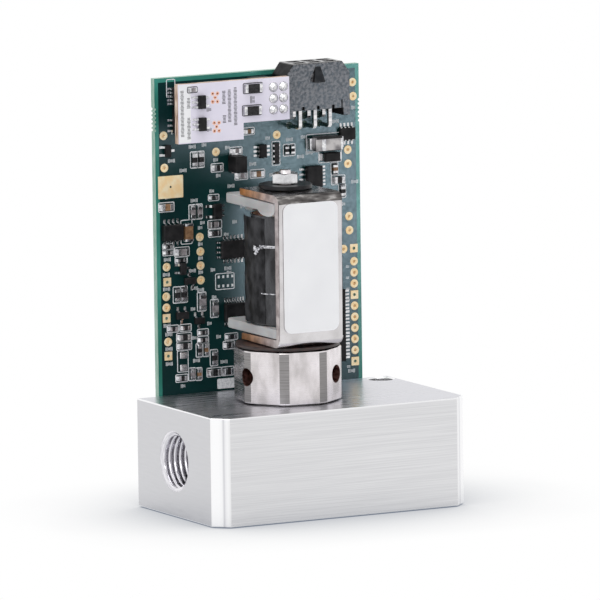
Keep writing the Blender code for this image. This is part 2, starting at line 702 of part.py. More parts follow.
for index, (x, z) in enumerate(screw_places, start=1):
    head = screw_head_radius
    rear = board_thickness + seat_gap
    crown = rear + screw_head_height
    socket_floor = crown - screw_socket_depth
    tip = -board_screw_depth
    screw_profile = [(0, socket_floor), (screw_socket_radius, socket_floor), (screw_socket_radius, crown),
                     (head - screw_crown_chamfer, crown), (head, crown - screw_crown_chamfer), (head, rear),
                     (board_screw_radius, rear), (board_screw_radius, tip + screw_tip_chamfer),
                     (board_screw_radius - screw_tip_chamfer, tip), (0, tip)]
    screw = turned(screw_profile, COARSE_STEPS)
    screw.transform(Matrix.Rotation(math.pi, 4, "X"))
    part(f"board_screw_{index}", screw, steel, face, (x, z, 0))

# Pressure sensor on the board's lower face, sealed into the block's pocket
sensor_front = sensor_pocket_depth - seat_gap - 2 * sensor_ring_wire
sensor_top = sensor_front + sensor_nose_height
sensor_profile = [(sensor_vent_radius, seat_gap), (sensor_radius, seat_gap),
                  (sensor_radius, sensor_front - sensor_chamfer),
                  (sensor_radius - sensor_chamfer, sensor_front),
                  (sensor_nose_radius, sensor_front), (sensor_nose_radius, sensor_top),
                  (sensor_vent_radius, sensor_top)]
part("pressure_sensor", turned(sensor_profile, PLAIN_STEPS), steel, face, (sensor_x, sensor_z, 0))
sensor_seal = sensor_nose_radius + seat_gap + sensor_ring_wire
sensor_seal_y = sensor_front + seat_gap + sensor_ring_wire
part("sensor_o_ring", ring(sensor_seal, sensor_ring_wire, sensor_seal_y, PLAIN_STEPS, 6), rubber, face,
     (sensor_x, sensor_z, 0))


def chip(name, side, offset, height, width, tall, thick, finish, edge=0.18):
    """A moulded component body on the board, with its upper edges drafted."""
    shape = box(-width / 2, width / 2, -tall / 2, tall / 2, seat_gap, thick)
    top_edges = [e for e in shape.edges if all(v.co.z > thick - 0.01 for v in e.verts)]
    bmesh.ops.bevel(shape, geom=top_edges, offset=edge, segments=1, profile=0.5, affect="EDGES", material=-1)
    part(name, shape, finish, face, (across(side, offset), height, 0))


chip("microcontroller", "right", 11.8, block_height + 12.6, 14.0, 16.5, 1.5, chip_black)
chip("driver_chip", "right", 12.2, board_top - 24.9, 3.9, 4.8, 1.6, chip_black)
chip("amplifier_chip", "right", 3.4, board_top - 15.8, 3.9, 2.7, 1.1, chip_black)
chip("power_inductor", "right", 9.1, board_top - 17.4, 7.0, 3.3, 2.6, tinned)
chip("rectifier_diode", "right", 7.6, board_top - 20.7, 3.8, 2.0, 1.6, chip_black)
chip("power_chip", "left", 3.7, board_top - 35.0, 4.9, 3.5, 1.6, chip_black)
chip("ceramic_capacitor", "left", 7.6, board_top - 35.2, 2.0, 3.6, 1.5, ceramic_brown)
chip("regulator_chip", "left", 15.2, board_top - 31.0, 2.0, 3.4, 1.2, chip_black)
chip("converter_chip", "left", 19.3, board_top - 39.9, 6.4, 4.0, 1.1, chip_black)
chip("interface_chip", "left", 19.4, block_height + 17.7, 5.4, 4.0, 1.2, chip_black)
chip("tantalum_capacitor", "middle", -6.25, board_top - 20.4, 2.9, 3.6, 4.1, black_plastic)
chip("switch_chip", "middle", 0.95, board_top - 18.2, 1.7, 3.0, 1.2, chip_black)

# Power connector: six cavities open upwards, a latch ramp in front and a foot at each end
shell_right = board_right - connector_inset
shell_left = shell_right - connector_width
shell_top = board_top + connector_rise
shell_bottom = shell_top - connector_height
shell_middle = (shell_left + shell_right) / 2
foot_z = shell_bottom - foot_drop
shoulder = shell_top - connector_chamfer_z
shell_outline = [(shell_left, foot_z), (shell_left + foot_width, foot_z),
                 (shell_left + foot_width, shell_bottom), (shell_right - foot_width, shell_bottom),
                 (shell_right - foot_width, foot_z), (shell_right, foot_z), (shell_right, shoulder),
                 (shell_right - connector_chamfer_x, shell_top),
                 (shell_left + connector_chamfer_x, shell_top), (shell_left, shoulder)]
shell_front = seat_gap + connector_depth
shell = part("connector_housing", prism(shell_outline, seat_gap, shell_front), black_plastic, face)
ramp_top = shell_top - latch_inset
ramp_bottom = ramp_top - latch_height
ramp_profile = [(ramp_top, -0.3), (ramp_top, 0), (ramp_bottom, latch_depth), (ramp_bottom, -0.3)]
ramp = prism(ramp_profile, -latch_width / 2, latch_width / 2)
ramp.transform(Matrix(((0, 0, 1, shell_middle), (1, 0, 0, 0), (0, 1, 0, shell_front), (0, 0, 0, 1))))
bmesh.ops.recalc_face_normals(ramp, faces=ramp.faces)
join(shell, ramp)
cavity_x = column_pitch - connector_wall
cavity_y = row_pitch - connector_wall
cavities = []
bores = []
pin_number = 0
for column in range(connector_columns):
    for row in range(connector_rows):
        pin_number += 1
        pin_x = shell_middle + (column - (connector_columns - 1) / 2) * column_pitch
        pin_y = seat_gap + connector_depth / 2 + (row - (connector_rows - 1) / 2) * row_pitch
        cavities.append(box(pin_x - cavity_x / 2, pin_x + cavity_x / 2, shell_top - cavity_depth,
                            shell_top + 1, pin_y - cavity_y / 2, pin_y + cavity_y / 2))
        bore = along_y(rod(pin_hole_radius, shell_bottom - 1, shell_top - cavity_depth + 0.5, SMALL_STEPS))
        bores.append(moved(bore, pin_x, 0, pin_y))
        half_pin = pin_width / 2
        bend_z = shell_bottom - bent_pin_drop + (back_row_rise if row == 0 else 0.0)
        pin_end = -board_thickness - pin_tail
        pin_top = shell_top - pin_recess
        pin_outline = [(bend_z, pin_end), (bend_z + pin_width, pin_end),
                       (bend_z + pin_width, pin_y - half_pin), (pin_top, pin_y - half_pin),
                       (pin_top, pin_y + half_pin), (bend_z + pin_bend_chamfer, pin_y + half_pin),
                       (bend_z, pin_y + half_pin - pin_bend_chamfer)]
        pin = prism(pin_outline, -half_pin, half_pin)
        pin.transform(Matrix(((0, 0, 1, pin_x), (1, 0, 0, 0), (0, 1, 0, 0), (0, 0, 0, 1))))
        bmesh.ops.recalc_face_normals(pin, faces=pin.faces)
        part(f"connector_pin_{pin_number}", pin, tinned, face)
        pin_hole = rod(pin_hole_radius, -board_thickness - 1, 1, SMALL_STEPS)
        board_holes.append(moved(pin_hole, pin_x, bend_z + half_pin))
cut(shell, *cavities)
cut(shell, *bores)
for side in (-1, 1):
    pin_hole = rod(pin_hole_radius, -board_thickness - 1, 1, SMALL_STEPS)
    board_holes.append(moved(pin_hole, valve_x + side * terminal_pitch / 2, terminal_z))

# Daughter card: an L-shaped board on a stacking header
card_left = board_left + card_left_inset
card_right = card_left + card_width
card_top = board_top - card_top_inset
card_bottom = card_top - card_height
card_outline = [(card_left, card_bottom), (card_right - card_notch_width, card_bottom),
                (card_right - card_notch_width, card_bottom + card_notch_height),
                (card_right, card_bottom + card_notch_height), (card_right, card_top), (card_left, card_top)]
card = part("daughter_board", prism(card_outline, card_stand_off, card_stand_off + card_thickness),
            white_mask, face)
header_x = card_right - header_inset_x
header_z = card_top - header_inset_z
strip_side = 3 * header_pitch
drill_end = card_stand_off + card_thickness + 1


def header_strip(name, low):
    shape = box(header_x - header_pitch, header_x + header_pitch, header_z - strip_side / 2,
                header_z + strip_side / 2, low, low + header_strip_height)
    return part(name, shape, black_plastic, face)


lower_strip = header_strip("header_base", seat_gap)
upper_strip = header_strip("header_spacer", card_stand_off - seat_gap - header_strip_height)
header_holes = []
pin_number = 0
for column in (-0.5, 0.5):
    for row in (-1, 0, 1):
        pin_number += 1
        pin_x = header_x + column * header_pitch
        pin_z = header_z + row * header_pitch
        half_pin = header_pin_width / 2
        pin = box(-half_pin, half_pin, -half_pin, half_pin, -board_thickness - pin_tail,
                  card_stand_off + card_thickness + header_joint)
        part(f"header_pin_{pin_number}", pin, tinned, face, (pin_x, pin_z, 0))
        header_holes.append((pin_x, pin_z))


def header_drills():
    return [moved(rod(header_hole_radius, -board_thickness - 1, drill_end, SMALL_STEPS), x, z)
            for x, z in header_holes]


for layer in (lower_strip, upper_strip, card):
    cut(layer, *header_drills())
cut(board, *board_holes, *header_drills())


def card_part(name, x, z, width, tall, thick, finish):
    shape = box(-width / 2, width / 2, -tall / 2, tall / 2, seat_gap, thick)
    top_edges = [e for e in shape.edges if all(v.co.z > thick - 0.01 for v in e.verts)]
    bmesh.ops.bevel(shape, geom=top_edges, offset=0.12, segments=1, profile=0.5, affect="EDGES", material=-1)
    part(name, shape, finish, face, (card_left + x, card_top - z, card_stand_off + card_thickness))


card_part("card_chip_1", 5.7, 4.2, 1.7, 3.0, 1.2, chip_black)
card_part("card_chip_2", 5.8, 9.2, 1.7, 3.0, 1.2, chip_black)
card_part("card_resistor_1", 18.9, 2.0, 4.4, 1.9, 0.8, chip_black)
card_part("card_resistor_2", 18.6, 7.0, 4.4, 1.9, 0.8, chip_black)
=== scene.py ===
import math

import bmesh
import bpy
from mathutils import Matrix, Vector, noise


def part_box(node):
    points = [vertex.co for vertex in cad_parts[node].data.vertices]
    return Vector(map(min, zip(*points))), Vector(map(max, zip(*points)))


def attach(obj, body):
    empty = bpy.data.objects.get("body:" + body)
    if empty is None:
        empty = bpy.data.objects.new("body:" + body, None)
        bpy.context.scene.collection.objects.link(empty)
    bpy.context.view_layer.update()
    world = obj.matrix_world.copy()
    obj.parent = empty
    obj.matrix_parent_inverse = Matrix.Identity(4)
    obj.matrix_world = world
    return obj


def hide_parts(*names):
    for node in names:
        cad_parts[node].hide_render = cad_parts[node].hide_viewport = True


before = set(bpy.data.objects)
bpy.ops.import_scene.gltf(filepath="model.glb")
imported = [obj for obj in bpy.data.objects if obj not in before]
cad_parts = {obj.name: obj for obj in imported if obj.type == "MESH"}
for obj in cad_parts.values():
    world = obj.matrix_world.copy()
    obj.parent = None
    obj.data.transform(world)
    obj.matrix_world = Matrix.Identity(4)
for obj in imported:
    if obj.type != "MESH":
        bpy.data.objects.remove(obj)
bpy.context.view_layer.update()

# View and light
# The photograph's long-lens view of the controller, standing on a plain white table.
# Three large soft lamps and a white room light it, and a small one puts a sheen on the board.
# The floor shows white but keeps the object's shadow.
MM = 0.001
scene = bpy.context.scene
scene.view_settings.view_transform = "Standard"

view_target = Vector((0.0, 0.0, 50.0)) * MM
view_turn = math.radians(-27.817)
view_rise = math.radians(7.98)
view_roll = math.radians(-0.767)
view_distance = 2695.8 * MM
camera_data = bpy.data.cameras.new("view")
camera_data.sensor_width = 36.0
camera_data.lens = 721.1
camera_data.shift_x = -0.0025
camera_data.shift_y = -0.0247
camera_data.clip_end = 20.0
camera = bpy.data.objects.new("view", camera_data)
scene.collection.objects.link(camera)
backwards = Vector((math.sin(view_turn) * math.cos(view_rise),
                    -math.cos(view_turn) * math.cos(view_rise), math.sin(view_rise)))
camera.matrix_world = (Matrix.Translation(view_target + backwards * view_distance)
                       @ Matrix.Rotation(view_turn, 4, "Z")
                       @ Matrix.Rotation(math.radians(90) - view_rise, 4, "X")
                       @ Matrix.Rotation(view_roll, 4, "Z"))
scene.camera = camera


def soft_lamp(name, place, aim, size, power):
    """A square lamp that faces a point, in millimetres. Returns it, so that what sees it can be set."""
    data = bpy.data.lights.new(name, "AREA")
    data.size = size * MM
    data.energy = power
    lamp = bpy.data.objects.new(name, data)
    scene.collection.objects.link(lamp)
    lamp.location = Vector(place) * MM
    lamp.rotation_euler = (Vector(aim) - Vector(place)).to_track_quat("-Z", "Y").to_euler()
    lamp.visible_camera = False
    return lamp


soft_lamp("overhead lamp", (-150, -250, 1250), (0, 0, 40), 900, 6.0)
soft_lamp("left lamp", (-1100, -900, 700), (0, 0, 50), 800, 4.0)
fill_lamp = soft_lamp("right lamp", (700, -1250, 150), (0, 0, 60), 420, 2.0)
fill_lamp.visible_glossy = False
sheen_lamp = soft_lamp("board sheen lamp", (80, -85, 54), (25, 20, 70), 60, 0.50)
sheen_lamp.visible_diffuse = False
sheen_lamp.data.color = (0.72, 0.86, 1.0)

world = bpy.data.worlds.new("white room")
scene.world = world
world.use_nodes = True
room = world.node_tree
room_light = room.nodes["Background"]
room_light.inputs["Strength"].default_value = 0.62
room_seen = room.nodes.new("ShaderNodeBackground")
room_seen.inputs["Color"].default_value = (1, 1, 1, 1)
room_seen.inputs["Strength"].default_value = 1.0
room_light.inputs["Color"].default_value = (0.97, 0.98, 1.0, 1)


def seen_directly(tree):
    """1 for rays from the camera, from gloss and through glass, and 0 for rays that only light things."""
    path = tree.nodes.new("ShaderNodeLightPath")
    total = path.outputs["Is Camera Ray"]
    for other in ("Is Glossy Ray", "Is Transmission Ray"):
        either = tree.nodes.new("ShaderNodeMath")
        either.operation = "MAXIMUM"
        tree.links.new(total, either.inputs[0])
        tree.links.new(path.outputs[other], either.inputs[1])
        total = either.outputs[0]
    return total


room_choice = room.nodes.new("ShaderNodeMixShader")
room.links.new(seen_directly(room), room_choice.inputs["Fac"])
room.links.new(room_light.outputs[0], room_choice.inputs[1])
room.links.new(room_seen.outputs[0], room_choice.inputs[2])
room.links.new(room_choice.outputs[0], room.nodes["World Output"].inputs["Surface"])

floor_shape = bmesh.new()
bmesh.ops.create_grid(floor_shape, x_segments=1, y_segments=1, size=6.0)
bmesh.ops.translate(floor_shape, vec=(0, 0, -0.2 * MM), verts=floor_shape.verts)
floor_mesh = bpy.data.meshes.new("table")
floor_shape.to_mesh(floor_mesh)
floor_shape.free()
floor = bpy.data.objects.new("table", floor_mesh)
scene.collection.objects.link(floor)
floor_finish = bpy.data.materials.new("white table")
floor_finish.use_nodes = True
table = floor_finish.node_tree
table.nodes.remove(table.nodes["Principled BSDF"])
table_shadow = table.nodes.new("ShaderNodeAmbientOcclusion")
table_shadow.samples = 16
table_shadow.inputs["Distance"].default_value = 38 * MM
table_tone = table.nodes.new("ShaderNodeValToRGB")
table_tone.color_ramp.elements[0].color = (0.15, 0.18, 0.24, 1)
table_tone.color_ramp.elements[1].color = (1, 1, 1, 1)
table_tone.color_ramp.elements[1].position = 0.97
table_glow = table.nodes.new("ShaderNodeEmission")
table_plain = table.nodes.new("ShaderNodeBsdfDiffuse")
table_plain.inputs["Color"].default_value = (0.82, 0.82, 0.83, 1)
table_choice = table.nodes.new("ShaderNodeMixShader")
table.links.new(table_shadow.outputs["AO"], table_tone.inputs["Fac"])
table.links.new(table_tone.outputs["Color"], table_glow.inputs["Color"])
table.links.new(seen_directly(table), table_choice.inputs["Fac"])
table.links.new(table_plain.outputs[0], table_choice.inputs[1])
table.links.new(table_glow.outputs[0], table_choice.inputs[2])
table.links.new(table_choice.outputs[0], table.nodes["Material Output"].inputs["Surface"])
floor_mesh.materials.append(floor_finish)

# Port block
# A bar of aluminium, sawn, milled and brushed, with its two front corners taken off.
# Each end is drilled for a threaded port. The top has the valve's cavity and a plain corner hole.


def prism(outline, low, high):
    """A flat outline, listed anticlockwise, pulled up along Z."""
    shape = bmesh.new()
    face = shape.faces.new([shape.verts.new((x, y, low)) for x, y in outline])
    grown = bmesh.ops.extrude_face_region(shape, geom=[face], use_keep_orig=True)
    raised = [v for v in grown["geom"] if isinstance(v, bmesh.types.BMVert)]
    bmesh.ops.translate(shape, vec=(0, 0, high - low), verts=raised)
    bmesh.ops.recalc_face_normals(shape, faces=shape.faces)
    return shape


def slab(x0, x1, y0, y1, z0, z1):
    """A rectangular block between two corners."""
    shape = bmesh.new()
    size = Matrix.Diagonal((x1 - x0, y1 - y0, z1 - z0, 1))
    middle = Matrix.Translation(((x0 + x1) / 2, (y0 + y1) / 2, (z0 + z1) / 2))
    bmesh.ops.create_cube(shape, size=1.0, matrix=middle @ size)
    return shape


def turned(profile, steps):
    """A closed outline of (radius, height) points spun about Z, as on a lathe."""
    shape = bmesh.new()
    corners = [shape.verts.new((radius, 0, height)) for radius, height in profile]
    for near, far in zip(corners, corners[1:] + corners[:1]):
        if near.co.x or far.co.x:
            shape.edges.new((near, far))
    bmesh.ops.spin(shape, geom=shape.verts[:] + shape.edges[:], cent=(0, 0, 0), axis=(0, 0, 1),
                   angle=math.tau, steps=steps, use_merge=True)
    bmesh.ops.remove_doubles(shape, verts=shape.verts, dist=0.0001)
    bmesh.ops.recalc_face_normals(shape, faces=shape.faces)
    return shape


def rod(radius, low, high, steps=48):
    return turned([(0, low), (radius, low), (radius, high), (0, high)], steps)


def moved(shape, x=0.0, y=0.0, z=0.0):
    bmesh.ops.translate(shape, vec=(x, y, z), verts=shape.verts)
    return shape


def swung(shape, degrees, axis):
    shape.transform(Matrix.Rotation(math.radians(degrees), 4, axis))
    return shape


def gathered(*shapes):
    """Several shapes taken together as one."""
    whole = bmesh.new()
    for shape in shapes:
        data = bpy.data.meshes.new("shape")
        shape.to_mesh(data)
        shape.free()
        whole.from_mesh(data)
        bpy.data.meshes.remove(data)
    return whole


def eased(shape, width, steps=2, over=40, where=None):
    """Rounds a shape's sharp edges over. The edges turn by more than a number of degrees."""
    edges = [e for e in shape.edges if e.is_manifold and e.calc_face_angle(0) > math.radians(over)
             and (where is None or where(e))]
    bmesh.ops.bevel(shape, geom=edges, offset=width, segments=steps, profile=0.5, affect="EDGES",
                    material=-1, clamp_overlap=True)
    return shape


def machined(shape, operation, *tools):
    """Cuts tools out of a shape, or fuses them to it, and gives back the new shape."""
    halves = []
    for part_shape in (shape, gathered(*tools)):
        data = bpy.data.meshes.new("half")
        part_shape.to_mesh(data)
        part_shape.free()
        half = bpy.data.objects.new("half", data)
        scene.collection.objects.link(half)
        halves.append(half)
    step = halves[0].modifiers.new("Machining", "BOOLEAN")
    step.operation = operation
    step.solver = "EXACT"
    step.object = halves[1]
    ready = halves[0].evaluated_get(bpy.context.evaluated_depsgraph_get())
    result = bmesh.new()
    result.from_mesh(ready.to_mesh())
    for half in halves:
        data = half.data
        bpy.data.objects.remove(half)
        bpy.data.meshes.remove(data)
    return result


def cut(shape, *tools):
    return machined(shape, "DIFFERENCE", *tools)


def fused(shape, *tools):
    return machined(shape, "UNION", *tools)


def piece(name, shape, finishes, nodes=(), crease=35):
    """Makes a piece from a shape in millimetres, with flat faces kept flat, and fixes it in its place."""
    bmesh.ops.scale(shape, vec=(MM, MM, MM), verts=shape.verts)
    data = bpy.data.meshes.new(name)
    shape.to_mesh(data)
    shape.free()
    thing = bpy.data.objects.new(name, data)
    scene.collection.objects.link(thing)
    for finish in finishes:
        data.materials.append(finish)
    data.shade_smooth()
    data.set_sharp_from_angle(angle=math.radians(crease))
    flats = thing.modifiers.new("Flat faces", "WEIGHTED_NORMAL")
    flats.keep_sharp = True
    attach(thing, "controller")
    if nodes:
        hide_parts(*nodes)
    return thing


def started(name, colour, roughness, metallic=0.0, specular=0.5):
    """A new material, with its node tree and its shader."""
    finish = bpy.data.materials.new(name)
    finish.use_nodes = True
    shader = finish.node_tree.nodes["Principled BSDF"]
    shader.inputs["Base Color"].default_value = (*colour, 1)
    shader.inputs["Roughness"].default_value = roughness
    shader.inputs["Metallic"].default_value = metallic
    shader.inputs["Specular IOR Level"].default_value = specular
    return finish, finish.node_tree, shader


def grain(tree, per_mm, detail=3.0):
    """Noise on the piece's own coordinates, with its number of cells in a millimetre along each axis."""
    place = tree.nodes.new("ShaderNodeTexCoord")
    sizes = tree.nodes.new("ShaderNodeMapping")
    sizes.inputs["Scale"].default_value = [n / MM for n in per_mm]
    pattern = tree.nodes.new("ShaderNodeTexNoise")
    pattern.inputs["Scale"].default_value = 1.0
    pattern.inputs["Detail"].default_value = detail
    tree.links.new(place.outputs["Object"], sizes.inputs["Vector"])
    tree.links.new(sizes.outputs["Vector"], pattern.inputs["Vector"])
    return pattern.outputs["Fac"]


def ramp(tree, value, *stops):
    """Colours along a value. Each stop is (place, red, green, blue)."""
    band = tree.nodes.new("ShaderNodeValToRGB")
    elements = band.color_ramp.elements
    while len(elements) < len(stops):
        elements.new(0.5)
    for element, (place, *colour) in zip(elements, stops):
        element.position = place
        element.color = (*colour, 1)
    tree.links.new(value, band.inputs["Fac"])
    return band.outputs["Color"]


def mottled(tree, shader, per_mm, detail, *stops):
    """Gives a shader a colour that wanders between stops with its grain."""
    tree.links.new(ramp(tree, grain(tree, per_mm, detail), *stops), shader.inputs["Base Color"])


def spread(tree, value, low, high):
    """A noise value, from about 0.3 to 0.7, spread over a range."""
    span = tree.nodes.new("ShaderNodeMapRange")
    for socket, number in zip(("From Min", "From Max", "To Min", "To Max"), (0.3, 0.7, low, high)):
        span.inputs[socket].default_value = number
    tree.links.new(value, span.inputs["Value"])
    return span.outputs["Result"]


def relief(tree, shader, height, depth, strength=1.0):
    """Bump, with the depth in millimetres."""
    bump = tree.nodes.new("ShaderNodeBump")
    bump.inputs["Distance"].default_value = depth * MM
    bump.inputs["Strength"].default_value = strength
    tree.links.new(height, bump.inputs["Height"])
    tree.links.new(bump.outputs["Normal"], shader.inputs["Normal"])


def brushed_aluminium(name, per_mm, low, high, roughness):
    finish, tree, shader = started(name, high, 0.35, 1.0)
    lines = grain(tree, per_mm, 4.0)
    tree.links.new(ramp(tree, lines, (0.3, *low), (0.7, *high)), shader.inputs["Base Color"])
    tree.links.new(spread(tree, lines, roughness - 0.06, roughness + 0.08), shader.inputs["Roughness"])
    relief(tree, shader, lines, 0.012, 0.35)
    return finish


long_grain = brushed_aluminium("brushed aluminium", (0.05, 2.5, 5.0), (0.66, 0.66, 0.675), (0.78, 0.78, 0.79),
                               0.34)
end_grain = brushed_aluminium("milled aluminium", (2.0, 0.15, 1.5), (0.63, 0.63, 0.65), (0.68, 0.68, 0.70),
                              0.36)
top_grain = brushed_aluminium("smooth milled aluminium", (0.04, 1.2, 1.2), (0.60, 0.60, 0.64),
                              (0.68, 0.68, 0.72), 0.3)

block_low, block_high = (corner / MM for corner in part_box("manifold_block"))
corner_cut = 3.2
edge_round = 0.28
port_y, port_z = 1.4, 12.5
port_bore = 6.86
port_depth = 14.0
port_root, port_crest = 6.58, 5.73
port_mouth = 6.85
thread_pitch = 1.337
base_hole_x, base_hole_radius, base_hole_depth = 12.0, 1.65, 5.5
corner_hole = (28.4, 15.9)
corner_hole_radius, corner_hole_depth = 2.9, 9.0
valve_x = -3.75
cavity_radius, cavity_floor = 8.75, 14.5

# The corner cuts and eased edges carry a painted highlight: their metal is paler than the block's. Across
# each corner cut the colour steps through bright and grey bands, which are painted highlight and painted
# shade.
cut_face_painted_highlight, tree, shader = started("cut aluminium with painted highlight and shade", (0.93, 0.93, 0.94), 0.28, 1.0)
place = tree.nodes.new("ShaderNodeTexCoord")
axes = tree.nodes.new("ShaderNodeSeparateXYZ")
outward = tree.nodes.new("ShaderNodeMath")
outward.operation = "ABSOLUTE"
across_cut = tree.nodes.new("ShaderNodeMapRange")
across_cut.inputs["From Min"].default_value = (block_high.x - corner_cut) * MM
across_cut.inputs["From Max"].default_value = block_high.x * MM
tree.links.new(place.outputs["Object"], axes.inputs[0])
tree.links.new(axes.outputs["X"], outward.inputs[0])
tree.links.new(outward.outputs[0], across_cut.inputs["Value"])
tree.links.new(ramp(tree, across_cut.outputs["Result"], (0.0, 0.84, 0.84, 0.85), (0.14, 0.92, 0.92, 0.93),
                    (0.26, 0.84, 0.84, 0.86), (0.33, 0.64, 0.64, 0.67), (0.42, 0.92, 0.92, 0.93),
                    (0.60, 0.96, 0.96, 0.97)), shader.inputs["Base Color"])

block_outline = [(block_low.x, block_high.y), (block_low.x, block_low.y + corner_cut),
                 (block_low.x + corner_cut, block_low.y), (block_high.x - corner_cut, block_low.y),
                 (block_high.x, block_low.y + corner_cut), (block_high.x, block_high.y)]
block = eased(prism(block_outline, block_low.z, block_high.z), edge_round, 3, 30)
port_floor = port_depth + port_root / math.tan(math.radians(59))
port_cutters = []
for side in (-1, 1):
    port_profile = [(0, 1), (0, -port_floor), (port_bore, -port_depth), (port_bore, 1)]
    port_cutters.append(moved(swung(turned(port_profile, 96), 90 * side, "Y"),
                              side * block_high.x, port_y, port_z))
valve_cavity = turned([(0, cavity_floor), (cavity_radius, cavity_floor), (cavity_radius, block_high.z - 0.8),
                       (cavity_radius + 0.9, block_high.z + 0.1), (0, block_high.z + 0.1)], 96)
base_holes = [moved(rod(base_hole_radius, -1, base_hole_depth, 32), side * base_hole_x) for side in (-1, 1)]
side_hole = moved(turned([(0, block_high.z - corner_hole_depth - 1.5),
                          (corner_hole_radius, block_high.z - corner_hole_depth),
                          (corner_hole_radius, block_high.z - 0.3),
                          (corner_hole_radius + 0.4, block_high.z + 0.1), (0, block_high.z + 0.1)], 64),
                  *corner_hole)
block = cut(block, *port_cutters, moved(valve_cavity, valve_x), *base_holes, side_hole)
for face in block.faces:
    middle = face.calc_center_median()
    from_side = min(block_high.x - abs(middle.x), middle.y - block_low.y, block_high.y - middle.y,
                    block_high.z - middle.z, middle.z - block_low.z)
    corner_face = middle.y < block_low.y + corner_cut and abs(face.normal.z) < 0.1
    # Faces of the corner cuts and of the eased edges take the painted highlight.
    if max(abs(part) for part in face.normal) < 0.97 and (corner_face or from_side < edge_round):
        face.material_index = 3
    else:
        face.material_index = 1 if abs(face.normal.x) > 0.9 else 2 if face.normal.z > 0.9 else 0
piece("port_block", block, [long_grain, end_grain, top_grain, cut_face_painted_highlight], ["manifold_block"])

# Port threads
# A tapped thread in each end of the block, cut with a hand tap after drilling.
# Its walls are turned bright, and a small countersink clears the first turn.
thread_steps = 56
thread_turns = 12
thread_wall = 0.25
wave_steps = 10
thread_middle = (port_root + port_crest) / 2
thread_swing = (port_root - port_crest) / 2
mouth_plane = 1.4 * thread_pitch
mouth_slope = 2.4
bright_bore, tree, shader = started("tapped aluminium", (0.72, 0.71, 0.74), 0.18, 1.0)
mottled(tree, shader, (6.0, 0.4, 0.4), 2.0, (0.35, 0.66, 0.65, 0.69), (0.65, 0.86, 0.85, 0.88))

for side in (-1, 1):
    thread = bmesh.new()
    profile = [(thread_pitch * n / wave_steps,
                thread_middle - thread_swing * math.cos(math.tau * n / wave_steps))
               for n in range(wave_steps + 1)]
    corners = [thread.verts.new((along, 0, radius)) for along, radius in profile]
    for near, far in zip(corners, corners[1:]):
        thread.edges.new((near, far))
    bmesh.ops.spin(thread, geom=thread.verts[:] + thread.edges[:], cent=(0, 0, 0), axis=(1, 0, 0),
                   dvec=(thread_pitch / thread_steps, 0, 0), angle=math.tau * thread_turns,
                   steps=thread_steps * thread_turns, use_merge=False)
    bmesh.ops.remove_doubles(thread, verts=thread.verts, dist=0.001)
    for plane, outward in ((mouth_plane, -1), (mouth_plane + port_depth - 0.1, 1)):
        bmesh.ops.bisect_plane(thread, geom=thread.verts[:] + thread.edges[:] + thread.faces[:],
                               plane_co=(plane, 0, 0), plane_no=(outward, 0, 0), clear_outer=True)
    for vert in thread.verts:
        depth = vert.co.x - mouth_plane
        radius = math.hypot(vert.co.y, vert.co.z)
        clear = port_mouth - mouth_slope * depth
        if radius < clear:
            vert.co.y *= clear / radius
            vert.co.z *= clear / radius
    moved(thread, 0.02 - mouth_plane)
    bmesh.ops.recalc_face_normals(thread, faces=thread.faces)
    if sum((f.normal.y * f.calc_center_median().y + f.normal.z * f.calc_center_median().z)
           for f in thread.faces) < 0:
        bmesh.ops.reverse_faces(thread, faces=thread.faces)
    bmesh.ops.solidify(thread, geom=thread.faces[:], thickness=-thread_wall)
    if side > 0:
        swung(thread, 180, "Z")
    moved(thread, side * block_high.x, port_y, port_z)
    bmesh.ops.recalc_face_normals(thread, faces=thread.faces)
    piece("inlet_thread" if side < 0 else "outlet_thread", thread, [bright_bore], crease=60)

# Valve collar
# The valve's body: turned stainless steel, with eight milled flats and three blind holes for a pin spanner.
# It is bored for the guide tube, and its spigot goes down into the block.
valve_y = 0.0
seat_gap = 0.25
collar_radius = 12.05
collar_low, collar_high = 24.75, 36.65
flat_reach = 11.505
first_flat = 36.0
spanner_radius, spanner_height = 2.05, 30.7
first_spanner = 71.4
tube_bore, core_bore, shoulder = 5.0, 4.35, 26.65
spigot_radius, spigot_low = 8.5, 14.75
groove_low, groove_high, groove_radius = 21.25, 23.05, 7.2
outlet_hole_height, outlet_hole_radius = 18.9, 1.2
collar_edge = 0.35

steel, tree, shader = started("turned stainless steel", (0.50, 0.485, 0.475), 0.26, 1.0)
turning = grain(tree, (0.08, 0.08, 7.0), 3.0)
patches = grain(tree, (0.25, 0.25, 0.12), 3.0)
tree.links.new(ramp(tree, patches, (0.35, 0.54, 0.51, 0.51), (0.5, 0.72, 0.68, 0.69),
                    (0.68, 0.86, 0.82, 0.84)), shader.inputs["Base Color"])
tree.links.new(spread(tree, turning, 0.18, 0.34), shader.inputs["Roughness"])
relief(tree, shader, turning, 0.01, 0.15)

# The round lands between the flats are painted darker than the flats, as painted shade.
land_painted_shade, tree, shader = started("turned land with painted shade", (0.26, 0.25, 0.25), 0.32, 1.0)
mottled(tree, shader, (0.08, 0.08, 7.0), 3.0, (0.3, 0.19, 0.18, 0.18), (0.7, 0.34, 0.33, 0.33))
stained_bore, tree, shader = started("stained drilled steel", (0.20, 0.09, 0.07), 0.30, 0.8)
mottled(tree, shader, (1.0, 1.0, 1.0), 3.0, (0.35, 0.10, 0.045, 0.035), (0.65, 0.42, 0.22, 0.19))

